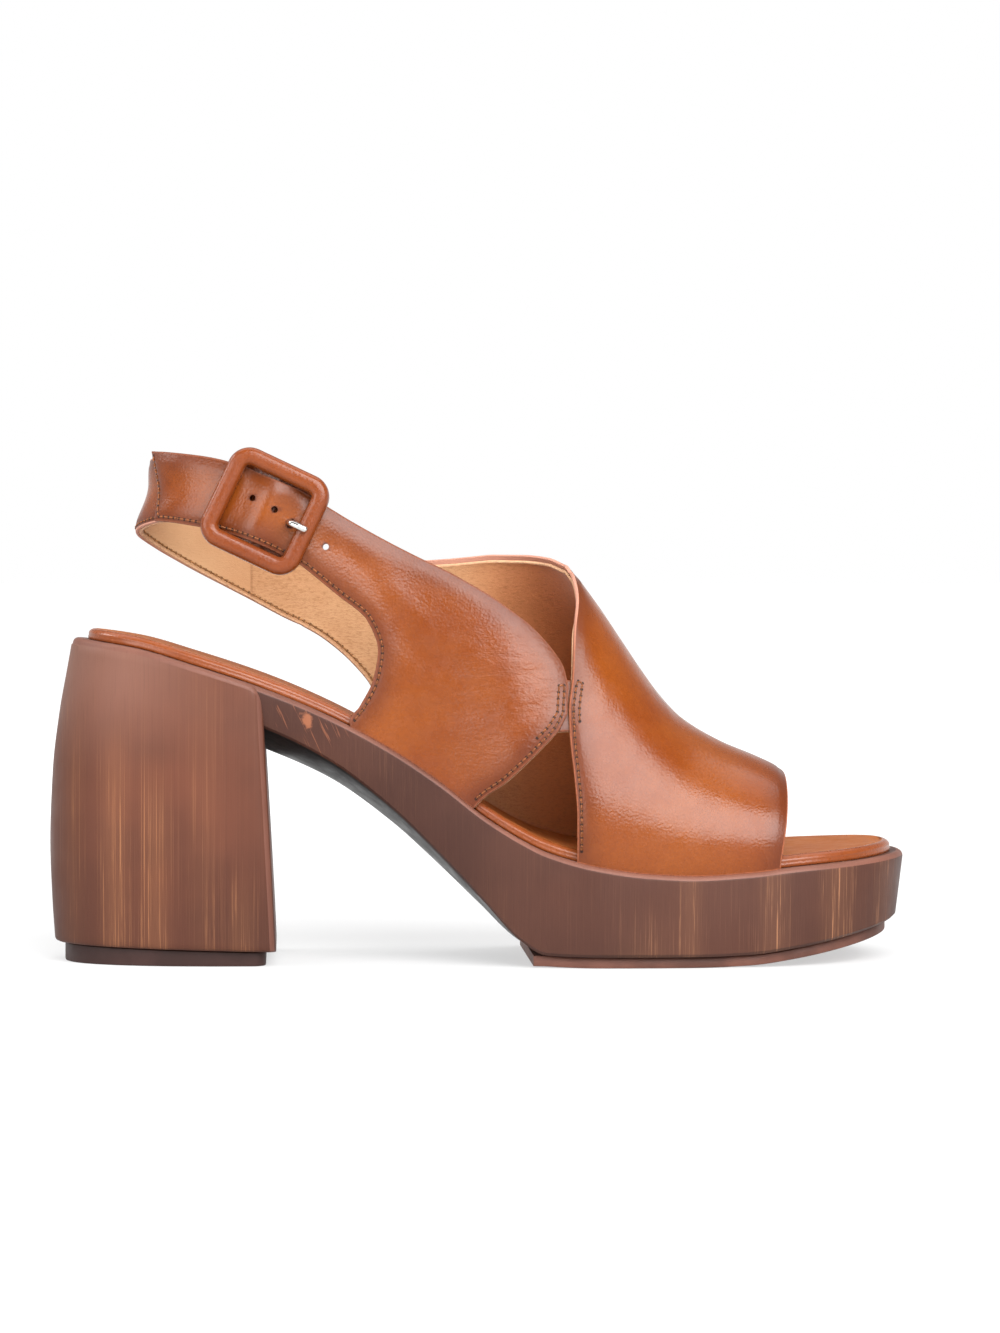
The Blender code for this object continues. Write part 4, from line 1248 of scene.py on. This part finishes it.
def make_heel():
    levels = [heel_level(0.0, LOWER_BEVEL), heel_level(LOWER_BEVEL / 240, LOWER_BEVEL * 0.3)]
    levels += [heel_level(LOWER_BEVEL / 80)] + [heel_level(i / 40) for i in range(1, 40)]
    levels += [heel_level(1.0, *edge) for edge in top_bevel(HEEL_TOP_STEPS)]
    shape = bmesh.new()
    bands = add_loft(shape, levels)
    # Top bevel and the front corner faces get the lighter edge wood: wear and painted highlight.
    paint(1, *bands[-HEEL_TOP_STEPS:], *(band[HEEL_CORNER_FACES] for band in bands))
    piece("wood_heel", shape, "wood wood_edge", "heel_block")

    rings = []
    for edges, share in ((RUBBER_FOOT, 0), (LIFT_TOP, 1)):
        for inset, rise in edges:
            ring = heel_ring(HEEL_BASE_Z, LIFT_INSET + inset, LIFT_INSET + inset)
            rings.append([Vector((x, y, share * (lift_rise(x) + HEEL_BASE_Z - GAP) + rise)) for x, y in ring])
    loft_piece("heel_tip", rings, "rubber", "heel_top_lift")


def platform_ring(s):
    """Closed section of the platform: across its underside, then back over its top."""
    x, lateral, medial = outline(s, SIDE_DRAFT)
    edge, belly = PROFILE.at("edge", x), PROFILE.at("belly", x)
    x_low, lateral_low, medial_low = outline(s, SIDE_DRAFT + LOWER_BEVEL)
    ring = [Vector((x, lateral, edge + LOWER_BEVEL))]
    for f in even(0, 1, UNDERSIDE_STEPS):
        low = edge - belly * (1 - (2 * f - 1) ** 2)
        ring.append(Vector((x_low, lateral_low + (medial_low - lateral_low) * f, low)))
    ring.append(Vector((x, medial, edge + LOWER_BEVEL)))
    rise, fall = [], []
    for inset, below in top_bevel(BEVEL_STEPS):
        x, lateral, medial = outline(s, inset)
        z = PROFILE.at("top", x) - below
        rise.append(Vector((x, medial, z)))
        fall.append(Vector((x, lateral, z)))
    return ring + rise + fall[::-1]


def make_platform():
    places = even(SHANK_REAR_X - PLATFORM_TUCK, TOE_ROUND_X, 126) + toe_stations(48)
    shape = bmesh.new()
    medial = UNDERSIDE_STEPS + 3
    lateral = medial + BEVEL_STEPS + 1
    for band in add_loft(shape, [platform_ring(s) for s in places]):
        paint(1, band[1 : UNDERSIDE_STEPS + 1])
        # Top bevels get the lighter edge wood: wear and painted highlight.
        paint(2, band[medial + 1 : medial + BEVEL_STEPS], band[lateral : lateral + BEVEL_STEPS - 1])
    piece("wood_platform", shape, "wood_scuffed belly wood_edge", "platform", sharp=24)


def make_outsole():
    rings = []
    for s in even(OUTSOLE_REAR_X, TOE_ROUND_X, 40) + toe_stations(40):
        x, lateral, medial = outline(s, SIDE_DRAFT + OUTSOLE_INSET)
        edge = PROFILE.at("edge", max(x, OUTSOLE_FLAT_X))
        low, high = max(edge - OUTSOLE_THICKNESS, 0.0), edge - GAP
        half = (medial - lateral) / 2
        side = [(min(inset, half), low + rise) for inset, rise in RUBBER_FOOT]
        side += [(min(inset, half), high + rise) for inset, rise in OUTSOLE_TOP]
        ring = [Vector((x, lateral + inset, z)) for inset, z in side]
        rings.append(ring + [Vector((x, medial - inset, z)) for inset, z in reversed(side)])
    loft_piece("rubber_outsole", rings, "outsole_rubber", "forefoot_outsole")


def insole_ring(s):
    """Closed section of the padded insole: flat below, a rolled edge with a crease where the cover is drawn round."""
    x, lateral, medial = outline(s, INSOLE_INSET + INSOLE_UNDERCUT)
    low = PROFILE.at("top", x) + INSOLE_LIFT
    ring = [Vector((x, lateral + (medial - lateral) * f, low)) for f in even(0, 1, ROLL_STEPS)]
    rolls = ([], [])
    for angle in even(-20, 90, ROLL_STEPS):
        turn = math.radians(angle)
        out = INSOLE_ROUND * math.cos(turn) - 0.22 * math.exp(-(((angle - 8) / 9) ** 2))
        x, *sides = outline(s, INSOLE_INSET + INSOLE_ROUND - out)
        z = PROFILE.at("top", x) + GAP + INSOLE_THICKNESS - INSOLE_ROUND * (1 - math.sin(turn))
        for roll, y in zip(rolls, sides):
            roll.append(Vector((x, y, max(z, low + 0.1))))
    x, lateral, medial = outline(s, INSOLE_INSET + INSOLE_ROUND)
    high = PROFILE.at("top", x) + GAP + INSOLE_THICKNESS
    top = []
    for f in even(0, 1, INSOLE_TOP_STEPS)[1:-1]:
        dish = INSOLE_DISH * math.sin(math.pi * f) ** 2
        top.append(Vector((x, medial + (lateral - medial) * f, high - dish)))
    return ring + rolls[1] + top + rolls[0][::-1]


def make_insole():
    heel = end_stations(SHANK_REAR_X, HEEL_SEAT_BACK_X, HEEL_ROUND_POWER, 40)[::-1]
    places = heel + even(SHANK_REAR_X, TOE_ROUND_X, 110) + toe_stations(44)
    shape = bmesh.new()
    first = 2 * ROLL_STEPS + 1
    for band in add_loft(shape, [insole_ring(s) for s in places]):
        # Top faces of the insole get the material with the painted sheen.
        paint(1, band[first : first + INSOLE_TOP_STEPS])
    made = piece("padded_insole", shape, "insole_leather insole_top", "insole", sharp=70)


# Studio


def make_camera():
    data = bpy.data.cameras.new("camera")
    camera = add_object("camera", data)
    data.sensor_fit = "HORIZONTAL"
    data.sensor_width = SENSOR_WIDTH
    data.lens = SENSOR_WIDTH * FOCAL_PIXELS / FRAME_WIDTH
    data.shift_y = -HORIZON_ABOVE_CENTRE / FRAME_WIDTH
    data.clip_end = 100.0
    x = CAMERA_AIM_X + CAMERA_DISTANCE * math.sin(CAMERA_TURN)
    y = -CAMERA_DISTANCE * math.cos(CAMERA_TURN)
    camera.location = (x * MM, y * MM, CAMERA_HEIGHT * MM)
    camera.rotation_euler = (math.radians(90), 0.0, CAMERA_TURN)
    bpy.context.scene.camera = camera


def make_floor():
    shape = bmesh.new()
    bmesh.ops.create_grid(shape, x_segments=1, y_segments=1, size=FLOOR_HALF)
    n = new_material("floor_paper")
    tone = n.ramp(n.noise(3, 2), 0.3, 0.7, 0.26, 0.28)
    glow = n.ramp(n.distance(n.place), 0.2, 0.9, 0.55, 0.96)
    paper = n.finish(Base_Color=tone, Roughness=0.8, Emission_Color=WHITE, Emission_Strength=glow)
    floor = new_object("floor", shape, [paper])


def make_light():
    world = bpy.data.worlds.new("studio")
    bpy.context.scene.world = world
    n = Nodes(world, "Background", "Generated")
    glow = n.times(n.ramp(n.axis("Z"), 0.14, 0.4, 1.0, 0.25), n.ramp(n.axis("Y"), -0.2, 0.3, 0.4, 1.0))
    n.finish(Color=WHITE, Strength=glow)
    for name, (place, target, size, watts) in LIGHTS.items():
        data = bpy.data.lights.new(name, "AREA")
        data.shape = "RECTANGLE"
        data.size, data.size_y = size
        data.energy = watts
        light = add_object(name, data)
        light.location = place
        light.rotation_euler = (Vector(target) - Vector(place)).to_track_quat("-Z", "Y").to_euler()


def main():
    bpy.context.scene.view_settings.view_transform = "Standard"
    make_camera()
    make_floor()
    make_light()
    make_heel()
    make_platform()
    make_outsole()
    make_insole()
    make_stitches(*make_upper())
    make_buckle()


main()
